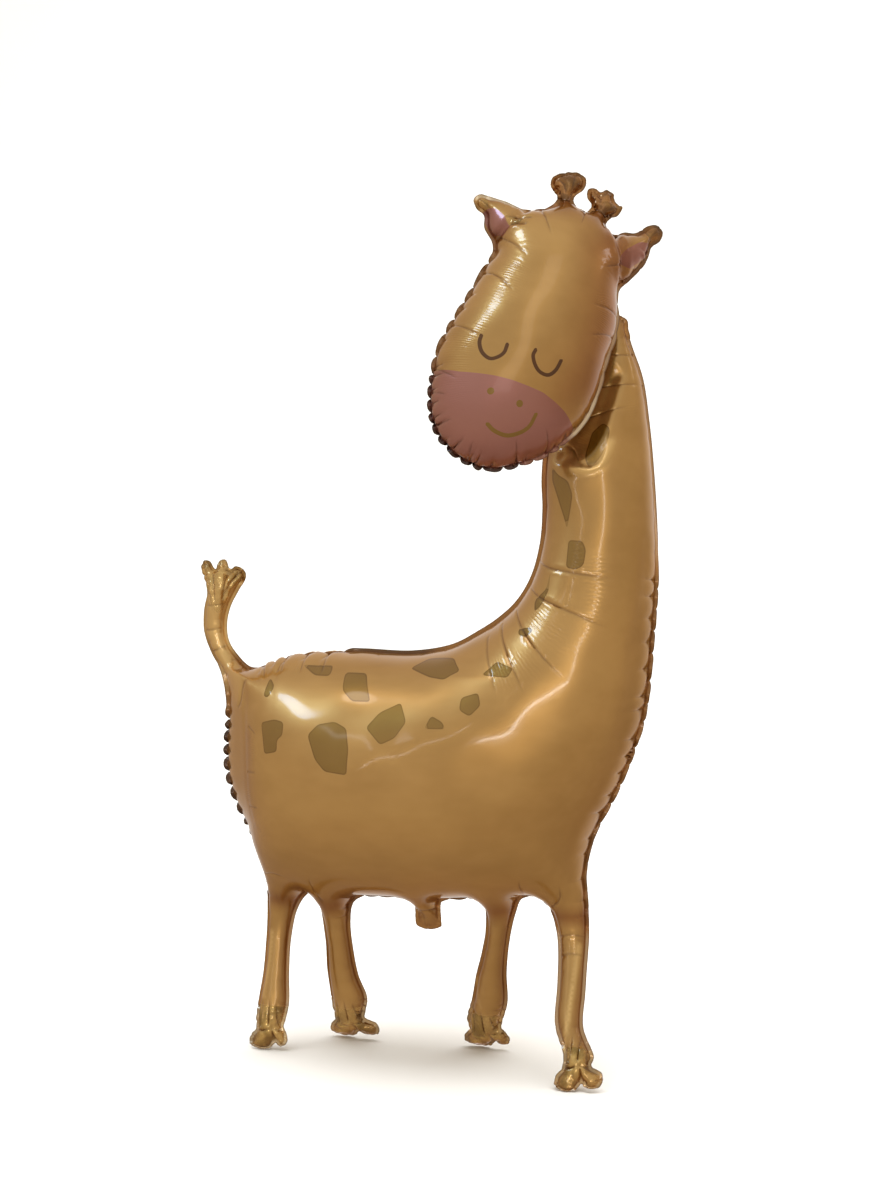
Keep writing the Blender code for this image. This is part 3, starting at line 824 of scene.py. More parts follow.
def smooth_shape(corners, cut=4.0):
    """A closed shape with its corners rounded off, each within a few mm of the corner."""
    corners = np.array(corners, float)
    curve = []
    for i, corner in enumerate(corners):
        before, after = corners[i - 1] - corner, corners[(i + 1) % len(corners)] - corner
        arms = [arm * min(0.4, cut / np.linalg.norm(arm)) for arm in (before, after)]
        start, end = corner + arms[0], corner + arms[1]
        for t in np.linspace(0, 1, 5):
            curve.append((1 - t) ** 2 * start + 2 * t * (1 - t) * corner + t**2 * end)
    return evenly(np.array(curve), 2.2)


def beside(line, offset):
    """The line, moved sideways."""
    along = np.gradient(line, axis=0)
    side = np.stack([-along[:, 1], along[:, 0]], 1) / np.linalg.norm(along, axis=1)[:, None]
    return line + offset * side


class Pinches:
    """The pinches along a weld: their places, depths and reaches, on one sheet."""

    def __init__(self, weld, rows, draws, creases=()):
        starts, _ = weld.nearest(np.array([row[0] for row in rows], float))
        runs = np.roll(starts, -1) - starts
        runs = np.where(runs <= 0, runs + weld.length, runs)
        if abs(runs.sum() - weld.length) > 1:
            raise RuntimeError("the pucker rows don't go round the outline once, clockwise")
        places, depths, far_depths, reaches, set_ins, painted_rim_shades_and_highlights = [], [], [], [], [], []
        for start, run, (_, pitch, depth, far_depth, reach, set_in, dark) in zip(starts, runs, rows):
            count = max(1, round(run / pitch))
            shares = (np.arange(count) + draws.uniform(-0.2, 0.2, count)) / count
            places += list((start + shares * run) % weld.length)
            depths += list(depth * draws.uniform(0.75, 1.2, count))
            far_depths += [far_depth] * count
            reaches += list(reach * draws.uniform(0.7, 1.3, count))
            set_ins += [set_in] * count
            painted_rim_shades_and_highlights += [dark] * count
        places = np.array(places)
        if creases:
            ends, off = weld.nearest(np.array([line[0] for line, _, _ in creases], float))
            for end, gap in zip(ends, off):
                apart = np.abs((places - end + weld.length / 2) % weld.length - weld.length / 2)
                if gap < 12 and apart.min() < 12:
                    places[apart.argmin()] = end
        order = np.argsort(places)
        self.length = weld.length
        self.places = places[order]
        self.depths, self.reaches = np.array(depths)[order], np.array(reaches)[order]
        self.far_depths = np.array(far_depths, float)[order]
        # The last column: how much shade is painted on the rim and behind the lobes, or a painted highlight where below
        # 0.
        self.set_ins, self.painted_rim_shades_and_highlights = np.array(set_ins, float)[order], np.array(painted_rim_shades_and_highlights, float)[order]

    def staggered(self, draws):
        """The other sheet's pinches, which lie between these."""
        other = object.__new__(Pinches)
        following = np.append(self.places[1:], self.places[0] + self.length)
        share = draws.uniform(0.38, 0.62, len(self.places))
        places = (self.places + share * (following - self.places)) % self.length
        order = np.argsort(places)
        other.length, other.places = self.length, places[order]
        other.depths = (self.far_depths * draws.uniform(0.8, 1.2, len(places)))[order]
        other.reaches = (self.reaches * draws.uniform(0.7, 1.4, len(places)))[order]
        return other

    def eased(self, values, s):
        """A value given at each pinch, read between them."""
        return np.interp(s, self.places, values, period=self.length)

    def at(self, s):
        """At lengths along the weld: the share of the way from one pinch to the next, the depth and reach there,
        and the distance, depth and reach of the nearest pinch."""
        places = np.concatenate([[self.places[-1] - self.length], self.places, [self.places[0] + self.length]])
        depths = np.concatenate([self.depths[-1:], self.depths, self.depths[:1]])
        reaches = np.concatenate([self.reaches[-1:], self.reaches, self.reaches[:1]])
        i = np.clip(np.searchsorted(places, s, "right") - 1, 0, len(places) - 2)
        gap = places[i + 1] - places[i]
        t = np.clip((s - places[i]) / gap, 0, 1)
        close = np.where(t < 0.5, i, i + 1)
        off = np.abs(s - places[close])
        depth = depths[i] * (1 - t) + depths[i + 1] * t
        reach = reaches[i] * (1 - t) + reaches[i + 1] * t
        return t, depth, reach, off, depths[close], reaches[close]


def pinched(pinches, s, climb, half):
    """How far the sheet is pulled in at each point: between pinches it bulges out a little."""
    t, depth, reach, off, own_depth, own_reach = pinches.at(s)
    reach = np.minimum(reach, 0.9 * half)
    own_reach = np.minimum(own_reach, 1.1 * half)
    lobe = 0.7 - np.sin(math.pi * t) ** 0.7
    pull = depth * lobe * np.exp(-((climb / reach) ** 1.4))
    pull += 0.32 * own_depth * np.exp(-((off / PINCH_WIDTH) ** 2)) * np.exp(-((climb / (1.5 * own_reach)) ** 3))
    return pull


def creased(flat, creases):
    """How far long creases press the sheet in: a valley with a low ridge on each side."""
    press = np.zeros(len(flat))
    for line, depth, width in creases:
        curve = open_curve(line, 2.0)
        rows = near_box(flat, curve, 6 * width)
        distance, along = distance_to_line(flat[rows], curve)
        fade = np.clip(1 - along, 0, 1) ** 0.6 * smooth_step(along, -0.15, 0.12)
        valley = np.exp(-((distance / width) ** 2)) - 0.3 * np.exp(-(((distance - 2.2 * width) / width) ** 2))
        press[rows] += depth * fade * valley
    return press


def painted_crease_shade(flat, creases):
    """Painted shade along the bottom of a long crease: how near each point is to it, from 0 to 1."""
    share = np.zeros(len(flat))
    for line, depth, width in creases:
        curve = open_curve(line, 2.0)
        rows = near_box(flat, curve, 6)
        distance, along = distance_to_line(flat[rows], curve)
        if depth < 0 or width > WIDE_FOLD:
            continue
        here = np.exp(-((distance / FOLD_SHADE_HALF_WIDTH) ** 2)) * (1 - smooth_step(along, 0.7, 1.0)) * min(1.0, depth)
        share[rows] = np.maximum(share[rows], here)
    return share


def painted_pinch_shade(pinches, s, climb, half):
    """Painted shade along the bottom of a pinch: how near each point is to it, from 0 to 1."""
    _, _, _, off, own_depth, own_reach = pinches.at(s)
    own_reach = np.minimum(own_reach, 1.1 * half)
    along_bottom = np.exp(-((off / FOLD_SHADE_HALF_WIDTH) ** 2)) * np.exp(-((climb / (1.2 * own_reach)) ** 3))
    return along_bottom * smooth_step(own_depth, 0.6, 2.4)


def dented(flat):
    """The shoulder that the head leaves in the front of the neck, in mm."""
    return NECK_DENT_DEPTH * smooth_step(within(flat, [evenly(rounded(NECK_DENT), 3.0)]), -3, 14)


def painted_shade_and_highlight_along(flat, tints):
    """Where shade is painted on the foil, up to 1, and where highlights are painted, down to -1."""
    share = np.zeros(len(flat))
    for line, reach, strength in tints:
        distance, _ = distance_to_line(flat, open_curve(line, 3.0))
        share += strength * np.exp(-((distance / reach) ** 2))
    return np.clip(share, -1, 1)


def rippled(flat, ripples):
    """Where fine ripples run in from the weld, from 0 to 1."""
    share = np.zeros(len(flat))
    for line, reach, strength in ripples:
        curve = open_curve(line, 3.0)
        rows = near_box(flat, curve, 2.2 * reach)
        distance, _ = distance_to_line(flat[rows], curve)
        share[rows] = np.maximum(share[rows], strength * np.exp(-((distance / reach) ** 2)))
    return share


def rolling(flat, draws, swell):
    """A gentle unevenness of the blown-up foil, in mm."""
    total = np.zeros(len(flat))
    for _ in range(9):
        heading, wave = draws.uniform(0, 2 * math.pi), draws.uniform(45, 120)
        ahead = flat[:, 0] * math.cos(heading) + flat[:, 1] * math.sin(heading)
        total += np.sin(2 * math.pi * ahead / wave + draws.uniform(0, 2 * math.pi)) * wave / 80
    return swell * total / 3


def crumpled(flat, draws, amount):
    """Sharp small folds, as in a hoof or the tuft, in mm."""
    total = np.zeros(len(flat))
    for _ in range(7):
        heading, wave = draws.uniform(0, math.pi), draws.uniform(9, 22)
        ahead = flat[:, 0] * math.cos(heading) + flat[:, 1] * math.sin(heading)
        total += (np.abs(((ahead / wave + draws.uniform()) % 1) - 0.5) * 4 - 1) * wave / 16
    return amount * total / 2.6


def vertex_normals(points, faces):
    """The unit normal at each point, from the faces round it."""
    a, b, c = (points[faces[:, k]] for k in range(3))
    facing = np.cross(b - a, c - a)
    total = np.zeros_like(points)
    for k in range(3):
        for axis in range(3):
            total[:, axis] += np.bincount(faces[:, k], facing[:, axis], len(points))
    return total / np.maximum(np.linalg.norm(total, axis=1), 1e-12)[:, None]


def triangulated(laid, outline_count, in_rim):
    """The flat sheet's points and faces, and which points lie in the weld's rim and which on the outline."""
    edges = [(i, (i + 1) % outline_count) for i in range(outline_count)]
    flat, _, faces, origin, _, _ = delaunay_2d_cdt([tuple(p) for p in laid], edges, [], 1, 1e-6)
    flat, faces = np.array(flat), np.array(faces)
    rim = np.array([any(in_rim[k] for k in source) for source in origin])
    outline = np.array([any(k < outline_count for k in source) for source in origin])
    a, b, c = (flat[faces[:, k]] for k in range(3))
    backwards = (b - a)[:, 0] * (c - a)[:, 1] < (b - a)[:, 1] * (c - a)[:, 0]
    faces[backwards] = faces[backwards][:, ::-1]
    return flat, faces, rim, outline


def lay_flat(envelope, spacing, draws):
    """The envelope before it is bent: the flat sheet, and for each point how high it is blown up, the place along
    the weld nearest to it (s), how far off that is (d), and how far it is from there over the sheet (climb)."""
    weld = Weld(envelope.outline)
    width = half_widths(weld)
    near = Pinches(weld, envelope.puckers, draws, envelope.creases)
    far = near.staggered(draws)
    lines = envelope.lines()
    for line, _, reach in envelope.creases:
        curve = open_curve(line, 2.4)
        lines += [curve, *(beside(curve, share * reach) for share in (-1, 1, -2.2, 2.2))]
    flat, faces, rim, outline = triangulated(*lay_points(weld, width, near, far, spacing, lines))
    height = FULLNESS * np.sqrt(solve(faces, flat, ~rim)) * envelope.fullness(flat)
    s, d = weld.nearest(flat)
    depth_in = np.maximum(d - RIM_WIDTH, 0)
    half = weld.along(width, s)
    return SimpleNamespace(
        weld=weld, near=near, far=far, flat=flat, faces=faces, rim=rim, outline=outline, height=height, s=s, d=d,
        depth_in=depth_in, climb=np.sqrt(height**2 + depth_in**2), half=half, half_here=np.maximum(half, height),
    )  # fmt: skip


def blown_up(envelope, laid, draws):
    """The near sheet and the far one, blown up, pinched and creased but not bent yet."""
    flat, rim, height, s, climb, half_here = laid.flat, laid.rim, laid.height, laid.s, laid.climb, laid.half_here
    _, inward = laid.weld.place(s)
    near_t, *_ = laid.near.at(s)
    _, far_depth, *_ = laid.far.at(s)
    deep = smooth_step(far_depth, 0.9, 2.6)
    rim_pull = deep * pinched(laid.far, s, climb * 0, half_here) + laid.near.eased(laid.near.set_ins, s)
    at_rim = 1 - smooth_step(height, 0.0, 9.0)
    wave = 2.2 * deep * np.cos(2 * math.pi * near_t) * (1 - smooth_step(height, 0, 12))
    crumple = envelope.crumple(flat)
    folded = crumple * rim * crumpled(flat, np.random.default_rng(envelope.seed + 1), 1.6)
    sheets = []
    for side, pinches in ((1, laid.near), (-1, laid.far)):
        upright = np.stack([flat[:, 0], -side * height, flat[:, 1]], 1)
        normal = vertex_normals(upright, laid.faces) * side
        flange = np.stack([-inward[:, 0], np.zeros(len(flat)), -inward[:, 1]], 1)
        normal[rim] = flange[rim]
        press = creased(flat, envelope.creases) * (1 if side > 0 else 0.8) * smooth_step(height, 1, 7)
        press += rolling(flat, draws, 0.55) * smooth_step(height, 6, 60)
        if side > 0 and envelope.bend_middle:
            press += dented(flat) * smooth_step(height, 2, 12)
        press += crumpled(flat, draws, 1.5) * crumple * smooth_step(height, 0, 5)
        pull = at_rim * rim_pull + (1 - at_rim) * pinched(pinches, s, climb, half_here) + press
        moved = upright - pull[:, None] * normal
        moved[:, 1] -= wave
        moved[:, 1] -= folded
        moved[:, 1] -= side * np.where(laid.outline, 0, RIM_HALF_THICKNESS) * rim
        sheets.append(moved)
    return sheets


def bent(envelope, sheet):
    """A sheet in its final place, with what would go through the floor folded up over it."""
    plane = sheet[:, (0, 2)]
    points = envelope.sheet(plane) - sheet[:, 1:2] * outward(envelope.sheet, plane) + [*DRAWING_SHIFT, 0]
    if envelope.on_floor:
        fold = FLOOR_FOLD_HEIGHT
        low = points[:, 2] < fold
        points[low, 2] = (points[low, 2] + fold + 1) * fold / (2 * fold + 1)
        np.maximum(points[:, 2], 0, out=points[:, 2])
    return points


def joined(name, laid, near, far):
    """One mesh of both sheets, which share the outline's own points. Returns it with its triangles, the flat point
    that each vertex comes from, and whether it is on the far sheet."""
    count = len(laid.flat)
    far_index = np.arange(count) + count
    far_index[laid.outline] = np.nonzero(laid.outline)[0]
    used = np.concatenate([np.arange(count), far_index[~laid.outline]])
    order = np.full(2 * count, -1)
    order[used] = np.arange(len(used))
    both = np.concatenate([near, far])
    both[:count][laid.outline] = 0.5 * (near[laid.outline] + far[laid.outline])
    triangles = order[np.concatenate([laid.faces, far_index[laid.faces][:, ::-1]])]
    mesh = bpy.data.meshes.new(name)
    mesh.vertices.add(len(used))
    mesh.vertices.foreach_set("co", (both[used] * MM).ravel())
    mesh.loops.add(3 * len(triangles))
    mesh.loops.foreach_set("vertex_index", triangles.ravel())
    mesh.polygons.add(len(triangles))
    mesh.polygons.foreach_set("loop_start", np.arange(0, 3 * len(triangles), 3))
    mesh.update(calc_edges=True)
    mesh.validate()
    return mesh, triangles, used % count, used >= count


def add_attributes(mesh, envelope, laid, source, is_far, in_fan):
    """What the foil's material reads at each point: the printed zones, how the sheet is folded there, and where shade
    and highlights are painted on it.
    """
    flat, s, climb = laid.flat, laid.s, laid.climb
    _, near_depth, *_ = laid.near.at(s)
    _, far_depth, *_ = laid.far.at(s)
    # How much shade is painted on the rim (above 0), or highlight (below 0), read between the pinches.
    dark = laid.near.eased(laid.near.painted_rim_shades_and_highlights, s)
    off_middle = 1 - smooth_step(laid.depth_in / laid.half, 0.45, 0.8)
    # Painted shade lines along the bottoms of creases and pinches.
    creases = painted_crease_shade(flat, envelope.creases)
    folds = [
        np.where(laid.rim, 0, np.maximum(off_middle * painted_pinch_shade(pinches, s, climb, laid.half_here), creases))
        for pinches in (laid.near, laid.far)
    ]
    pucker = np.maximum(near_depth, 0.6 * far_depth) * np.exp(-climb / 26)
    ripple = rippled(flat, envelope.ripples) * np.maximum(off_middle, in_fan)
    # Painted shade (above 0) and painted highlights (below 0) along the lines given.
    tint = painted_shade_and_highlight_along(flat, envelope.tints)
    values = {
        **envelope.zones(flat),
        # Painted shade on the rim, and on the far sheet behind the lobes; below 0 a painted highlight on the rim.
        "shade": (dark, 2 + np.maximum(dark, 0) * (1 - smooth_step(climb, 12, 28))),
        # Painted shade lines along the bottoms of folds.
        "fold": folds,
        "pucker": (pucker, pucker),
        "in_from_edge": (laid.d, laid.d),
        "ripple": (ripple, ripple),
        "tint": (tint, tint),
    }
    for name, (near_value, far_value) in values.items():
        value = np.where(is_far, far_value[source], near_value[source])
        mesh.attributes.new(name, "FLOAT", "POINT").data.foreach_set("value", value.astype(np.float32))


def fan_round(envelope, laid):
    """Where the creases of the neck's bend fan out, and a map there by the angle and the distance from their middle."""
    if not envelope.bend_middle:
        return np.zeros(len(laid.flat), bool), None
    reach = laid.flat - envelope.bend_middle
    distance = np.linalg.norm(reach, axis=1)
    fan = np.stack([np.arctan2(reach[:, 1], reach[:, 0]) * 0.12, distance * MM], 1)
    return (distance < 260) & (reach[:, 0] > 20) & (reach[:, 1] < 8) & (laid.climb > 4), fan


def add_maps(mesh, laid, triangles, source, in_fan, fan):
    """The flat pattern, and a map by the length along the weld and the way in from it."""
    corner = source[triangles]
    mesh.uv_layers.new(name="pattern").data.foreach_set("uv", (laid.flat[corner] * MM).ravel())
    walk = laid.s[corner]
    length = laid.weld.length
    past_start = walk.max(1) - walk.min(1) > length / 2
    walk[past_start] = np.where(walk[past_start] < length / 2, walk[past_start] + length, walk[past_start])
    by_weld = np.stack([walk, laid.climb[corner]], 2) * MM
    if fan is not None:
        all_in = in_fan[corner].all(1)
        by_weld[all_in] = fan[corner][all_in]
    mesh.uv_layers.new(name="weld").data.foreach_set("uv", by_weld.ravel())


def blow_up(envelope, spacing):
    """The closed envelope as a mesh object: two sheets, blown up, pinched, creased and bent to shape."""
    draws = np.random.default_rng(envelope.seed)
    laid = lay_flat(envelope, spacing * envelope.spacing_share, draws)
    near, far = (bent(envelope, sheet) for sheet in blown_up(envelope, laid, draws))
    mesh, triangles, source, is_far = joined(envelope.name, laid, near, far)
    in_fan, fan = fan_round(envelope, laid)
    add_attributes(mesh, envelope, laid, source, is_far, in_fan)
    add_maps(mesh, laid, triangles, source, in_fan, fan)
    mesh.polygons.foreach_set("use_smooth", np.ones(len(triangles), bool))
    piece = bpy.data.objects.new(envelope.name, mesh)
    bpy.context.scene.collection.objects.link(piece)
    deselect_all()
    piece.select_set(True)
    bpy.context.view_layer.objects.active = piece
    bpy.ops.object.shade_smooth_by_angle(angle=math.radians(52))
    deselect_all()
    return piece


def patch_lines():
    """Lines that the body's mesh follows, so that its patches have clean edges."""
    return [smooth_shape(p) for p in PATCHES]


def body_zones(flat):
    """How deep each flat point lies in each printed zone of the body, on the near sheet and on the far one."""
    patches = within(flat, patch_lines())
    gilt = np.full(len(flat), OUTSIDE)
    low = flat[:, 1] < 90
    middles, tops = np.array(HOOF_TOPS).T
    top = tops[np.abs(flat[:, :1] - middles).argmin(1)]
    gilt[low] = (top - flat[:, 1])[low]
    gilt = np.maximum(gilt, within(flat, [smooth_shape(TUFT)]))
    nothing = np.full(len(flat), OUTSIDE)
    zones = {name: (nothing, nothing) for name in ("rose", "print", "mouth")}
    return {"patch": (patches, patches), "gilt": (gilt, gilt), **zones}


def body_crumple(flat):
    """Where the body's foil is crumpled: the hooves, the tuft and the filling tab."""
    middles = np.array([m for m, _ in HOOF_TOPS])
    hooves = 1 - smooth_step(flat[:, 1], 18, 46)
    hooves *= np.abs(flat[:, :1] - middles).min(1) < 60
    tuft = smooth_step(flat[:, 1], 500, 530) * (flat[:, 0] < -225)
    tab = (1 - smooth_step(flat[:, 1], 150, 172)) * (np.abs(flat[:, 0] + 24) < 22)
    return np.clip(0.4 * hooves + 0.7 * tuft + 0.2 * tab, 0, 1)


def body_fullness(flat):
    """The filling tab and the lips of the hooves stay flatter than the rest."""
    tab = (1 - smooth_step(flat[:, 1], 150, 176)) * (np.abs(flat[:, 0] + 24) < 24)
    lips = (1 - smooth_step(flat[:, 1], 6, 26)) * (flat[:, 1] < 60)
    return 1 - 0.8 * tab - 0.35 * lips


def head_fullness(flat):
    """The head is as full all over."""
    return np.ones(len(flat))


def circle(middle, radius):
    turn = np.linspace(0, 2 * math.pi, 12, endpoint=False)
    return np.array(middle) + radius * np.stack([np.cos(turn), np.sin(turn)], 1)


def face_strokes():
    return [open_curve(line, 1.8) for line in (*EYES, SMILE)]


def head_zones(flat):
    """The head's printed zones. Only the near sheet has the face and the rose insides of the ears."""
    muzzle = within(flat, [evenly(np.array(MUZZLE, float), 4.0)])
    ears = within(flat, [smooth_shape(p) for p in EAR_INSIDES])
    gilt = within(flat, [smooth_shape(p) for p in GILT_PARTS])
    eyes, mouth = on_strokes(flat, face_strokes()[:2], STROKE), on_strokes(flat, face_strokes()[2:], STROKE)
    for middle in NOSTRILS:
        mouth = np.maximum(mouth, NOSTRIL_RADIUS - np.linalg.norm(flat - middle, axis=1))
    nothing = np.full(len(flat), OUTSIDE)
    return {
        "patch": (nothing, nothing), "gilt": (gilt, gilt), "rose": (np.maximum(muzzle, ears), muzzle),
        "print": (eyes, nothing), "mouth": (mouth, nothing),
    }  # fmt: skip


def head_crumple(flat):
    """Where the head's foil is crumpled: the horns and the ear tips."""
    horns = smooth_step(flat[:, 1], 146, 160) * (np.abs(flat[:, 0] - 22) < 50)
    left_tip = smooth_step(-flat[:, 0], 62, 82) * (flat[:, 1] > 100)
    right_tip = smooth_step(flat[:, 0], 86, 102) * (flat[:, 1] > 120)
    return np.clip(horns + 0.5 * left_tip + 0.7 * right_tip, 0, 1)


def face_lines():
    """Lines that the head's mesh follows, so that the print on it has clean edges."""
    lines = []
    for stroke in face_strokes():
        lines += [stroke, beside(stroke, STROKE), beside(stroke, -STROKE)]
    for middle in NOSTRILS:
        lines += [circle(middle, NOSTRIL_RADIUS), np.array([middle], float)]
    lines.append(evenly(np.array(MUZZLE[:12], float), 2.2, closed=False))
    return [*lines, *(smooth_shape(p) for p in (*EAR_INSIDES, *GILT_PARTS))]


BODY = SimpleNamespace(
    name="body_foil", outline=body_outline(), sheet=body_sheet, puckers=BODY_PUCKERS, creases=BODY_CREASES,
    ripples=BODY_RIPPLES, tints=BODY_PAINTED_SHADE_AND_HIGHLIGHT, lines=patch_lines, zones=body_zones, crumple=body_crumple,
    fullness=body_fullness, seed=11, spacing_share=1.0, bend_middle=NECK_BEND_MIDDLE, on_floor=True,
)  # fmt: skip
HEAD = SimpleNamespace(
    name="head_foil", outline=head_outline(), sheet=head_sheet, puckers=HEAD_PUCKERS, creases=HEAD_CREASES,
    ripples=HEAD_RIPPLES, tints=HEAD_PAINTED_SHADE_AND_HIGHLIGHT, lines=face_lines, zones=head_zones, crumple=head_crumple,
    fullness=head_fullness, seed=5, spacing_share=0.85, bend_middle=None, on_floor=False,
)  # fmt: skip


class Nodes:
    """Short ways to add and join the nodes of a material or a world."""

    def __init__(self, owner, shader="Principled BSDF"):
        owner.use_nodes = True
        self.tree = owner.node_tree
        self.shader = self.tree.nodes[shader]

    def add(self, kind, inputs=None, **settings):
        node = self.tree.nodes.new(kind)
        for key, value in settings.items():
            setattr(node, key, value)
        for key, value in (inputs or {}).items():
            self.feed(node.inputs[key], value)
        return node

    def feed(self, socket, value):
        if isinstance(value, bpy.types.NodeSocket):
            self.tree.links.new(value, socket)
        elif socket.type == "RGBA":
            socket.default_value = (*value, 1)
        else:
            socket.default_value = value

    def set(self, **values):
        """Feed the shader's own sockets, whose names are given with _ for a space."""
        for name, value in values.items():
            self.feed(self.shader.inputs[name.replace("_", " ")], value)

    def math(self, operation, *values):
        return self.add("ShaderNodeMath", dict(enumerate(values)), operation=operation).outputs[0]

    def times(self, first, second):
        return self.math("MULTIPLY", first, second)

    def plus(self, first, second):
        return self.math("ADD", first, second)

    def larger(self, first, second):
        return self.math("MAXIMUM", first, second)

    def without(self, share):
        return self.math("SUBTRACT", 1.0, share)

    def mixed(self, share, first, second, blend="MIX"):
        node = self.add("ShaderNodeMix", data_type="RGBA", blend_type=blend)
        for index, value in ((0, share), (6, first), (7, second)):
            self.feed(node.inputs[index], value)
        return node.outputs[2]

    def darkened(self, share, colour, factors):
        """The colour, multiplied by the factors for that share."""
        return self.mixed(share, colour, self.mixed(1.0, colour, factors, blend="MULTIPLY"))

    def attribute(self, name):
        return self.add("ShaderNodeAttribute", attribute_name=name).outputs["Fac"]

    def ranged(self, value, start, end, low=0.0, high=1.0, **settings):
        return self.add("ShaderNodeMapRange", {0: value, 1: start, 2: end, 3: low, 4: high}, **settings).outputs[0]

    def share_over(self, value, start, end):
        """0 below start and 1 above end."""
        return self.ranged(value, start, end, interpolation_type="SMOOTHSTEP")

    def noise(self, where, scale, detail=2.0, roughness=0.5):
        inputs = {"Vector": where, "Scale": scale, "Detail": detail, "Roughness": roughness}
        return self.add("ShaderNodeTexNoise", inputs).outputs["Fac"]

    def mapping(self, where, scale):
        return self.add("ShaderNodeMapping", {"Vector": where, "Scale": scale}).outputs[0]


def printed(nodes, settings, place, gilt_share):
    """The foil's own colours: drifting gold with the printed zones on it."""
    streaks = nodes.noise(nodes.mapping(place, (4.5, 9.0, 9.0)), 1.0, 4.0, 0.6)
    gold = nodes.mixed(nodes.share_over(streaks, 0.34, 0.66), settings.gold, settings.gold_deep)
    patch = nodes.attribute("patch")
    in_patch = nodes.share_over(patch, -0.3, 0.3)
    patch_edge = nodes.times(in_patch, nodes.without(nodes.share_over(patch, 1.0, 1.6)))
    patch_colour = nodes.mixed(nodes.times(patch_edge, 0.7), settings.patch, settings.patch_edge)
    patch_colour = nodes.mixed(nodes.times(nodes.share_over(streaks, 0.3, 0.7), 0.25), patch_colour, gold)
    colour = nodes.mixed(in_patch, gold, patch_colour)
    colour = nodes.mixed(nodes.share_over(nodes.attribute("rose"), -0.3, 0.3), colour, settings.rose)
    gilt_cloud = nodes.share_over(nodes.noise(place, 60.0), 0.35, 0.65)
    colour = nodes.mixed(gilt_share, colour, nodes.mixed(gilt_cloud, settings.gilt, settings.gilt_deep))
    for zone, ink in (("print", settings.features), ("mouth", settings.mouth)):
        colour = nodes.mixed(nodes.share_over(nodes.attribute(zone), -0.25, 0.25), colour, ink)
    return colour


def with_painted_shade_and_highlights(nodes, settings, colour, by_weld):
    """The colour with painted shade and painted highlights: browner by the weld, dark in folds and behind the lobes,
    pale on some rims.
    """
    tint, shade, from_edge = (nodes.attribute(name) for name in ("tint", "shade", "in_from_edge"))
    climb = nodes.add("ShaderNodeSeparateXYZ", {0: by_weld}).outputs["Y"]
    # Painted shade: browner within 16 mm of the weld, and where the lines given are above 0.
    painted_edge_shade = nodes.plus(nodes.times(nodes.without(nodes.share_over(climb, 0.001, 0.016)), 0.65), tint)
    colour = nodes.darkened(painted_edge_shade, colour, (0.60, 0.40, 0.26))
    # Painted highlights: the colour turns to pale gold where the lines given are below 0.
    colour = nodes.mixed(nodes.larger(nodes.times(tint, -1.0), 0.0), colour, settings.painted_highlight_gold)
    on_rim = nodes.without(nodes.share_over(from_edge, RIM_WIDTH - 0.3, RIM_WIDTH + 0.1))
    # The far sheet's painted shade is stored with 2 added to it.
    is_near = nodes.without(nodes.share_over(shade, 1.4, 1.6))
    painted_shade_near = nodes.times(nodes.larger(shade, 0.0), nodes.times(on_rim, is_near))
    painted_shade_far = nodes.larger(nodes.math("SUBTRACT", shade, 2.0), 0.0)
    # Painted highlight on the rims whose value is below 0.
    pale = nodes.times(nodes.larger(nodes.times(shade, -1.0), 0.0), on_rim)
    colour = nodes.mixed(nodes.times(pale, 0.7), colour, settings.painted_rim_highlight_colour)
    # Painted shade on the near sheet's rim and on the far sheet behind the lobes.
    colour = nodes.darkened(nodes.times(nodes.larger(painted_shade_near, painted_shade_far), 0.92), colour, (0.12, 0.065, 0.045))
    # A thin dark line along the foil's outer edge, and painted shade lines along the bottoms of folds.
    outer = nodes.times(nodes.without(nodes.share_over(from_edge, 0.5, 1.5)), 0.6)
    line = nodes.larger(nodes.times(nodes.attribute("fold"), 0.5), outer)
    return nodes.darkened(line, colour, (0.22, 0.13, 0.09))


def wrinkled(nodes, place, by_weld):
    """The relief that is too fine for the mesh: wrinkles that run in from the weld, ripples and a soft crinkle."""
    pucker, ripple = nodes.attribute("pucker"), nodes.attribute("ripple")
    wrinkles = nodes.noise(nodes.mapping(by_weld, (420.0, 26.0, 1.0)), 1.0, 1.0)
    where = nodes.larger(nodes.times(nodes.share_over(pucker, 0.6, 2.6), 0.5), nodes.times(ripple, 0.2))
    rungs = {"Vector": by_weld, "Scale": 105.0, "Distortion": 2.5, "Detail": 1.0, "Detail Scale": 1.0}
    ladder = nodes.add("ShaderNodeTexWave", rungs).outputs["Fac"]
    fine = nodes.plus(nodes.times(wrinkles, where), nodes.times(ladder, nodes.times(ripple, 0.1)))
    relief = nodes.plus(fine, nodes.times(nodes.noise(place, 22.0, 1.0), 0.3))
    return nodes.add("ShaderNodeBump", {"Height": relief, "Strength": 0.8, "Distance": 0.0014}).outputs[0]


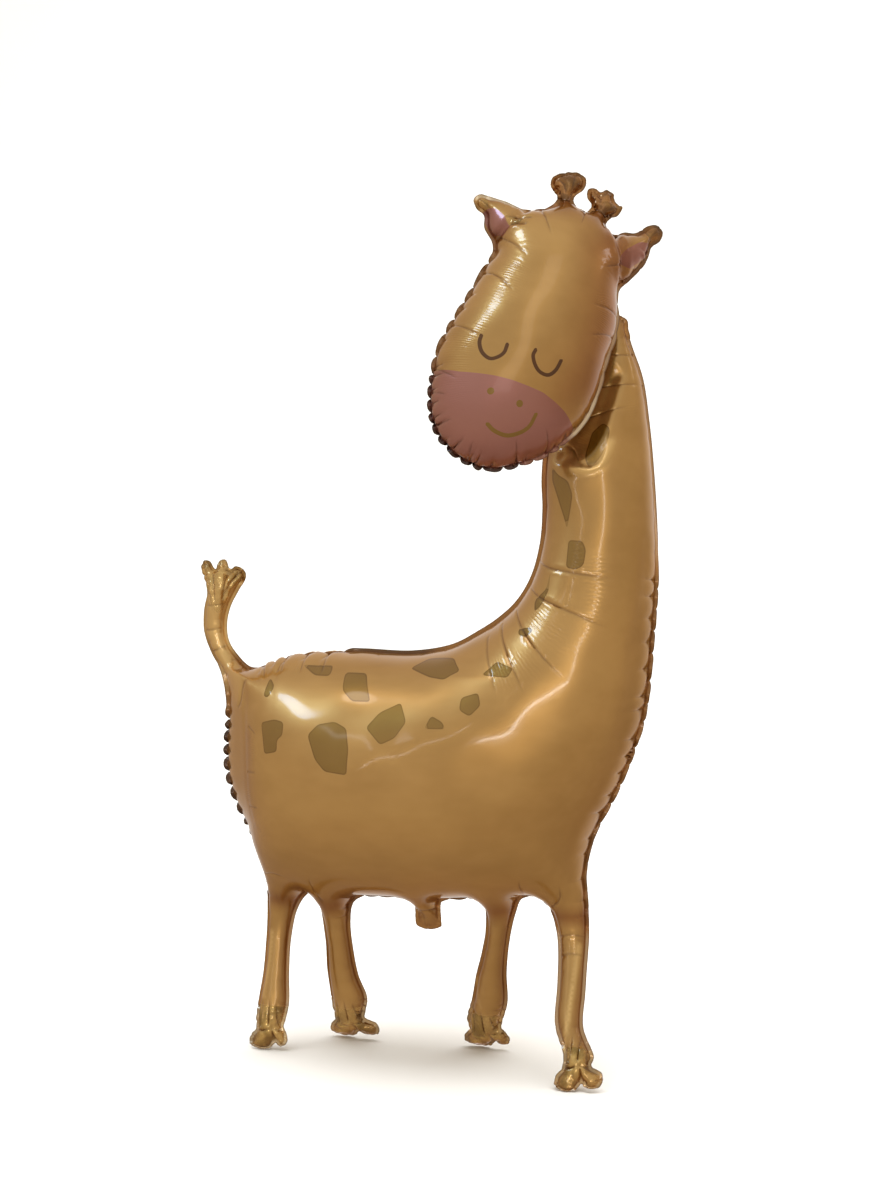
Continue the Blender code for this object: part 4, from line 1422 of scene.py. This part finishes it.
def foil(settings):
    """Printed foil: satin gold with zones of other colours, a thin clear skin, and fine wrinkles at the weld."""
    material = bpy.data.materials.new(FOIL_NAME)
    nodes = Nodes(material)
    place = nodes.add("ShaderNodeTexCoord").outputs["Object"]
    by_weld = nodes.add("ShaderNodeUVMap", uv_map="weld").outputs[0]
    gilt_share = nodes.share_over(nodes.attribute("gilt"), -1.0, 1.0)
    # The printed colours, with painted shade and painted highlights laid over them.
    colour = with_painted_shade_and_highlights(nodes, settings, printed(nodes, settings, place, gilt_share), by_weld)
    # Roughness stays above 0.274 in the gold and below it in the gilt: a map that crosses it within one zone shows
    # squiggly contours in a denoised picture.
    rough = nodes.ranged(nodes.noise(place, 14.0, 3.0), 0.3, 0.7, 0.285, 0.33)
    normal = wrinkled(nodes, place, by_weld)
    nodes.set(
        Base_Color=colour, Roughness=nodes.math("SUBTRACT", rough, nodes.times(gilt_share, 0.11)), Metallic=0.85,
        Specular_Tint=(0.80, 0.52, 0.34), Coat_Weight=0.8, Coat_Roughness=0.09, Coat_IOR=1.6, Normal=normal,
        Coat_Normal=normal,
    )  # fmt: skip
    return material


def plain(name, colour, roughness):
    """One colour, a little darker in soft clouds."""
    material = bpy.data.materials.new(name)
    nodes = Nodes(material)
    place = nodes.add("ShaderNodeTexCoord").outputs["Object"]
    shade = nodes.share_over(nodes.noise(place, 1.5), 0.2, 0.8)
    clouded = nodes.mixed(nodes.times(shade, 0.03), colour, [0.96 * value for value in colour])
    nodes.set(Base_Color=clouded, Roughness=roughness)
    return material


def colour_property(name, description, default):
    return bpy.props.FloatVectorProperty(
        name=name, description=description, default=default, subtype="COLOR", size=3, min=0, max=1
    )


class FoilSettings(bpy.types.PropertyGroup):
    """Colours and fineness of the foil."""

    spacing: bpy.props.FloatProperty(
        name="Mesh spacing",
        description="Distance between the points of a sheet, in millimetres",
        default=3.0,
        min=2.4,
        max=12.0,
    )
    gold: colour_property("Gold", "Champagne gold of the foil", (0.49, 0.275, 0.082))
    gold_deep: colour_property("Gold, deeper", "What the gold drifts to", (0.40, 0.215, 0.056))
    patch: colour_property("Patches", "Olive gold of the printed patches", (0.20, 0.105, 0.010))
    patch_edge: colour_property("Patch edges", "The darker edge of a patch", (0.12, 0.05, 0.0))
    rose: colour_property("Rose", "Muzzle and insides of the ears", (0.355, 0.145, 0.122))
    gilt: colour_property("Dark gold", "Hooves, horns, tuft and ear tips", (0.58, 0.37, 0.115))
    gilt_deep: colour_property("Dark gold, deeper", "What the dark gold drifts to", (0.26, 0.15, 0.025))
    mouth: colour_property("Mouth", "Nostrils and smile", (0.23, 0.125, 0.018))
    # Painted highlight colour for the pale rims.
    painted_rim_highlight_colour: colour_property("Pale rim", "Where the weld catches the light", (0.78, 0.66, 0.48))
    # Painted highlight colour: the pale gold laid along the tail, down the legs, on the hooves and in the neck.
    painted_highlight_gold: colour_property("Pale gold", "The tail's lighter gold", (0.70, 0.45, 0.17))
    features: colour_property("Features", "Closed eyes", (0.09, 0.028, 0.0))


class StageSettings(bpy.types.PropertyGroup):
    """The floor, the lights and the camera."""

    floor: colour_property("Floor", "Colour of the floor and backdrop", (0.86, 0.86, 0.86))
    light: bpy.props.FloatProperty(
        name="Light", description="Strength of all the lights", default=1.0, min=0.0, soft_max=3.0
    )
    azimuth: bpy.props.FloatProperty(
        name="Camera azimuth",
        description="How far round to the right the camera stands",
        default=math.radians(20),
        subtype="ANGLE",
    )
    elevation: bpy.props.FloatProperty(
        name="Camera elevation",
        description="How high the camera looks down from",
        default=math.radians(5),
        subtype="ANGLE",
    )
    distance: bpy.props.FloatProperty(
        name="Camera distance", description="From the camera to the balloon's middle", default=2.8, unit="LENGTH"
    )
    lens: bpy.props.FloatProperty(name="Lens", description="Focal length", default=76.36, unit="CAMERA")


def deselect_all():
    """Nothing is selected or active, so the next operator touches only what is chosen for it."""
    for each in bpy.context.selected_objects:
        each.select_set(False)
    bpy.context.view_layer.objects.active = None


def dress(piece, node):
    """Give the piece its foil, hang it from the root and hide the imported solid that it stands for."""
    foil_material = bpy.data.materials.get(FOIL_NAME) or foil(bpy.context.scene.balloon_foil)
    piece.data.materials.append(foil_material)
    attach(piece, "root")
    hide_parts(node)


class BALLOON_OT_body(bpy.types.Operator):
    """Make the body envelope: torso, neck, legs, tail and filling tab"""

    bl_idname = "balloon.body"
    bl_label = "Body"

    def execute(self, context):
        dress(blow_up(BODY, context.scene.balloon_foil.spacing), "body_balloon")
        return {"FINISHED"}


class BALLOON_OT_head(bpy.types.Operator):
    """Make the head envelope: face, muzzle, ears and horns"""

    bl_idname = "balloon.head"
    bl_label = "Head"

    def execute(self, context):
        dress(blow_up(HEAD, context.scene.balloon_foil.spacing), "head_balloon")
        return {"FINISHED"}


# The studio round the balloon, from the front's low side to its high side: the share of the way up, and the colour.
SKY = (
    (0.0, (0.42, 0.29, 0.18)), (0.2, (0.47, 0.38, 0.28)), (0.4, (0.60, 0.50, 0.37)), (0.55, (0.64, 0.56, 0.42)),
    (0.7, (0.66, 0.58, 0.46)), (0.95, (0.76, 0.74, 0.65)),
)  # fmt: skip
MIDDLE = Vector((0.03, 0.0, 0.5))
RUMP_TOP = Vector((-0.13, -0.1, 0.42))
FOREHEAD = Vector((0.11, -0.07, 0.85))
WINDOW_COLOUR = (0.38, 0.62, 1.0)
SKY_UP = (-0.08, -0.55, 0.83)  # the way from the dark side of the studio to the light side
BACKDROP = (0.95, 0.92, 0.88)  # what the foil reflects of the wall behind the balloon
WALL = (0.90, 0.89, 0.87)  # what the camera sees past the backdrop
# The lights on the body's front: where each starts and ends, its width, and its power in watts.
FRONT_LIGHTS = (
    ("left front light", (-43, 32), (-31, 20), 0.12, 1.1),
    ("middle front light", (-8, 5), (2, 1), 0.35, 1.0),
    ("right front light", (2, 1), (30, 0), 0.45, 3.0),
    ("thin right front light", (-3, 2), (30, 0), 0.08, 9.4),
    ("tall front light", (30, 2), (18, 30), 0.4, 3.2),
    ("thin tall front light", (30, 2), (20, 26), 0.08, 3.6),
    ("thin left front light", (-31, 4), (-17, 20), 0.04, 1.8),
)


def polar(azimuth, elevation, distance=5.0, centre=MIDDLE):
    """A place that far off the centre, so many degrees round to the right of the front and so many up."""
    round_by, up_by = math.radians(azimuth), math.radians(elevation)
    across = distance * math.cos(up_by)
    return centre + Vector((across * math.sin(round_by), -across * math.cos(round_by), distance * math.sin(up_by)))


def strip_light(name, start, end, width, power, centre=MIDDLE, lit=None, shape="RECTANGLE"):
    """A flat light from one place to another, facing the centre. It lights one piece only where that is named."""
    data = bpy.data.lights.new(name, "AREA")
    data.shape = shape
    data.size, data.size_y = (end - start).length, width
    data.energy = power
    light = bpy.data.objects.new(name, data)
    bpy.context.scene.collection.objects.link(light)
    light.location = (start + end) / 2
    back = (light.location - centre).normalized()
    along = (end - start).normalized()
    across = back.cross(along).normalized()
    light.rotation_euler = Matrix((along, across, back)).transposed().to_euler()
    if lit:
        chosen = bpy.data.collections.new(name)
        chosen.objects.link(bpy.data.objects[lit])
        light.light_linking.receiver_collection = chosen
    return light


def make_floor(colour):
    """A floor whose back edge sweeps up into a wall."""
    bpy.ops.mesh.primitive_plane_add(size=1, location=(0, 0, 0))
    floor = bpy.context.object
    floor.name = "studio_floor"
    floor.data.transform(Matrix.Translation((0, -1.2, -0.0005)) @ Matrix.Diagonal((14, 8, 1, 1)))
    bpy.ops.object.mode_set(mode="EDIT")
    bpy.ops.mesh.select_mode(type="EDGE")
    bpy.ops.mesh.select_all(action="DESELECT")
    bpy.ops.object.mode_set(mode="OBJECT")
    for edge in floor.data.edges:
        edge.select = all(floor.data.vertices[v].co.y > 1 for v in edge.vertices)
    bpy.ops.object.mode_set(mode="EDIT")
    bpy.ops.mesh.spin(steps=32, angle=math.radians(90), center=(0, 2.8, 3.0), axis=(-1, 0, 0))
    bpy.ops.mesh.extrude_region_move(TRANSFORM_OT_translate={"value": (0, 0, 2)})
    bpy.ops.mesh.select_all(action="SELECT")
    bpy.ops.mesh.normals_make_consistent(inside=False)
    bpy.ops.object.mode_set(mode="OBJECT")
    bpy.ops.object.shade_smooth()
    floor.visible_glossy = False
    floor.data.materials.append(plain("pale studio floor", colour, 0.9))


def make_world(strength):
    """The studio that the foil reflects. The camera itself sees a plain wall."""
    world = bpy.data.worlds.new("soft studio")
    bpy.context.scene.world = world
    nodes = Nodes(world, "Background")
    direction = nodes.add("ShaderNodeTexCoord").outputs["Generated"]
    upward = nodes.add("ShaderNodeVectorMath", {0: direction, 1: SKY_UP}, operation="DOT_PRODUCT").outputs["Value"]
    ramp = nodes.add("ShaderNodeValToRGB", {0: nodes.ranged(upward, -1.0, 1.0)})
    while len(ramp.color_ramp.elements) < len(SKY):
        ramp.color_ramp.elements.new(0.5)
    for element, (at, colour) in zip(ramp.color_ramp.elements, SKY):
        element.position = at
        element.color = (*colour, 1)
    behind = nodes.add("ShaderNodeSeparateXYZ", {0: direction}).outputs["Y"]
    reflected = nodes.mixed(nodes.share_over(behind, 0.5, 1.0), ramp.outputs[0], BACKDROP)
    by_camera = nodes.add("ShaderNodeLightPath").outputs["Is Camera Ray"]
    nodes.set(Color=nodes.mixed(by_camera, reflected, WALL), Strength=strength)


def make_lights(power):
    """Two windows, the lights on the front, one at the right, and a wash over the floor."""
    ends = polar(-84, 44, 1.2, RUMP_TOP), polar(-48, 38, 1.2, RUMP_TOP)
    by_rump = strip_light("window by the rump", *ends, 0.22, 2.9 * power, RUMP_TOP, "body_foil", "ELLIPSE")
    ends = polar(-48, 59, 1.6, FOREHEAD), polar(-64, 42, 1.6, FOREHEAD)
    by_head = strip_light("window by the head", *ends, 0.3, 3.8 * power, FOREHEAD, "head_foil", "ELLIPSE")
    for window in (by_rump, by_head):
        window.data.color = WINDOW_COLOUR
    strip_light("soft window over the back", *ends, 0.5, 1.8 * power, FOREHEAD, "body_foil", "ELLIPSE")
    for name, start, end, width, watts in FRONT_LIGHTS:
        strip_light(name, polar(*start), polar(*end), width, watts * power, lit="body_foil")
    strip_light("head front light", polar(20, 7), polar(40, 60), 1.2, 8.0 * power, lit="head_foil")
    strip_light("right light", polar(112, 24), polar(112, 36), 0.2, 2 * power)
    wash = strip_light("floor wash", Vector((-4, 0, 6)), Vector((4, 0, 6)), 6, 600 * power)
    wash.visible_glossy = False


def make_camera(settings):
    data = bpy.data.cameras.new("camera")
    data.lens = settings.lens
    data.sensor_width = 36
    camera = bpy.data.objects.new("camera", data)
    bpy.context.scene.collection.objects.link(camera)
    back = Vector((
        math.sin(settings.azimuth) * math.cos(settings.elevation),
        -math.cos(settings.azimuth) * math.cos(settings.elevation),
        math.sin(settings.elevation),
    ))  # fmt: skip
    target = Vector((DRAWING_SHIFT[0] * MM, DRAWING_SHIFT[1] * MM, 0.514))
    camera.location = target + settings.distance * back
    camera.rotation_euler = back.to_track_quat("Z", "Y").to_euler()
    bpy.context.scene.camera = camera


class BALLOON_OT_stage(bpy.types.Operator):
    """Make the floor, the backdrop, the lights and the camera"""

    bl_idname = "balloon.stage"
    bl_label = "Stage"

    def execute(self, context):
        settings = context.scene.balloon_stage
        deselect_all()
        make_floor(tuple(settings.floor))
        make_world(settings.light)
        make_lights(settings.light)
        make_camera(settings)
        context.scene.view_settings.view_transform = "Standard"
        return {"FINISHED"}


class BALLOON_PT_panel(bpy.types.Panel):
    """Sidebar panel with the balloon's pieces and settings"""

    bl_idname = "BALLOON_PT_panel"
    bl_label = "Giraffe Balloon"
    bl_space_type = "VIEW_3D"
    bl_region_type = "UI"
    bl_category = "Balloon"

    def draw(self, context):
        for operator in (BALLOON_OT_body, BALLOON_OT_head, BALLOON_OT_stage):
            self.layout.operator(operator.bl_idname)
        for settings in (context.scene.balloon_foil, context.scene.balloon_stage):
            box = self.layout.box()
            for name in settings.__annotations__:
                box.prop(settings, name)


CLASSES = (FoilSettings, StageSettings, BALLOON_OT_body, BALLOON_OT_head, BALLOON_OT_stage, BALLOON_PT_panel)


def register():
    for each in CLASSES:
        bpy.utils.register_class(each)
    bpy.types.Scene.balloon_foil = bpy.props.PointerProperty(type=FoilSettings)
    bpy.types.Scene.balloon_stage = bpy.props.PointerProperty(type=StageSettings)


def unregister():
    del bpy.types.Scene.balloon_stage
    del bpy.types.Scene.balloon_foil
    for each in reversed(CLASSES):
        bpy.utils.unregister_class(each)


def main():
    register()
    bpy.ops.balloon.body()
    bpy.ops.balloon.head()
    bpy.ops.balloon.stage()


if __name__ == "__main__":
    main()
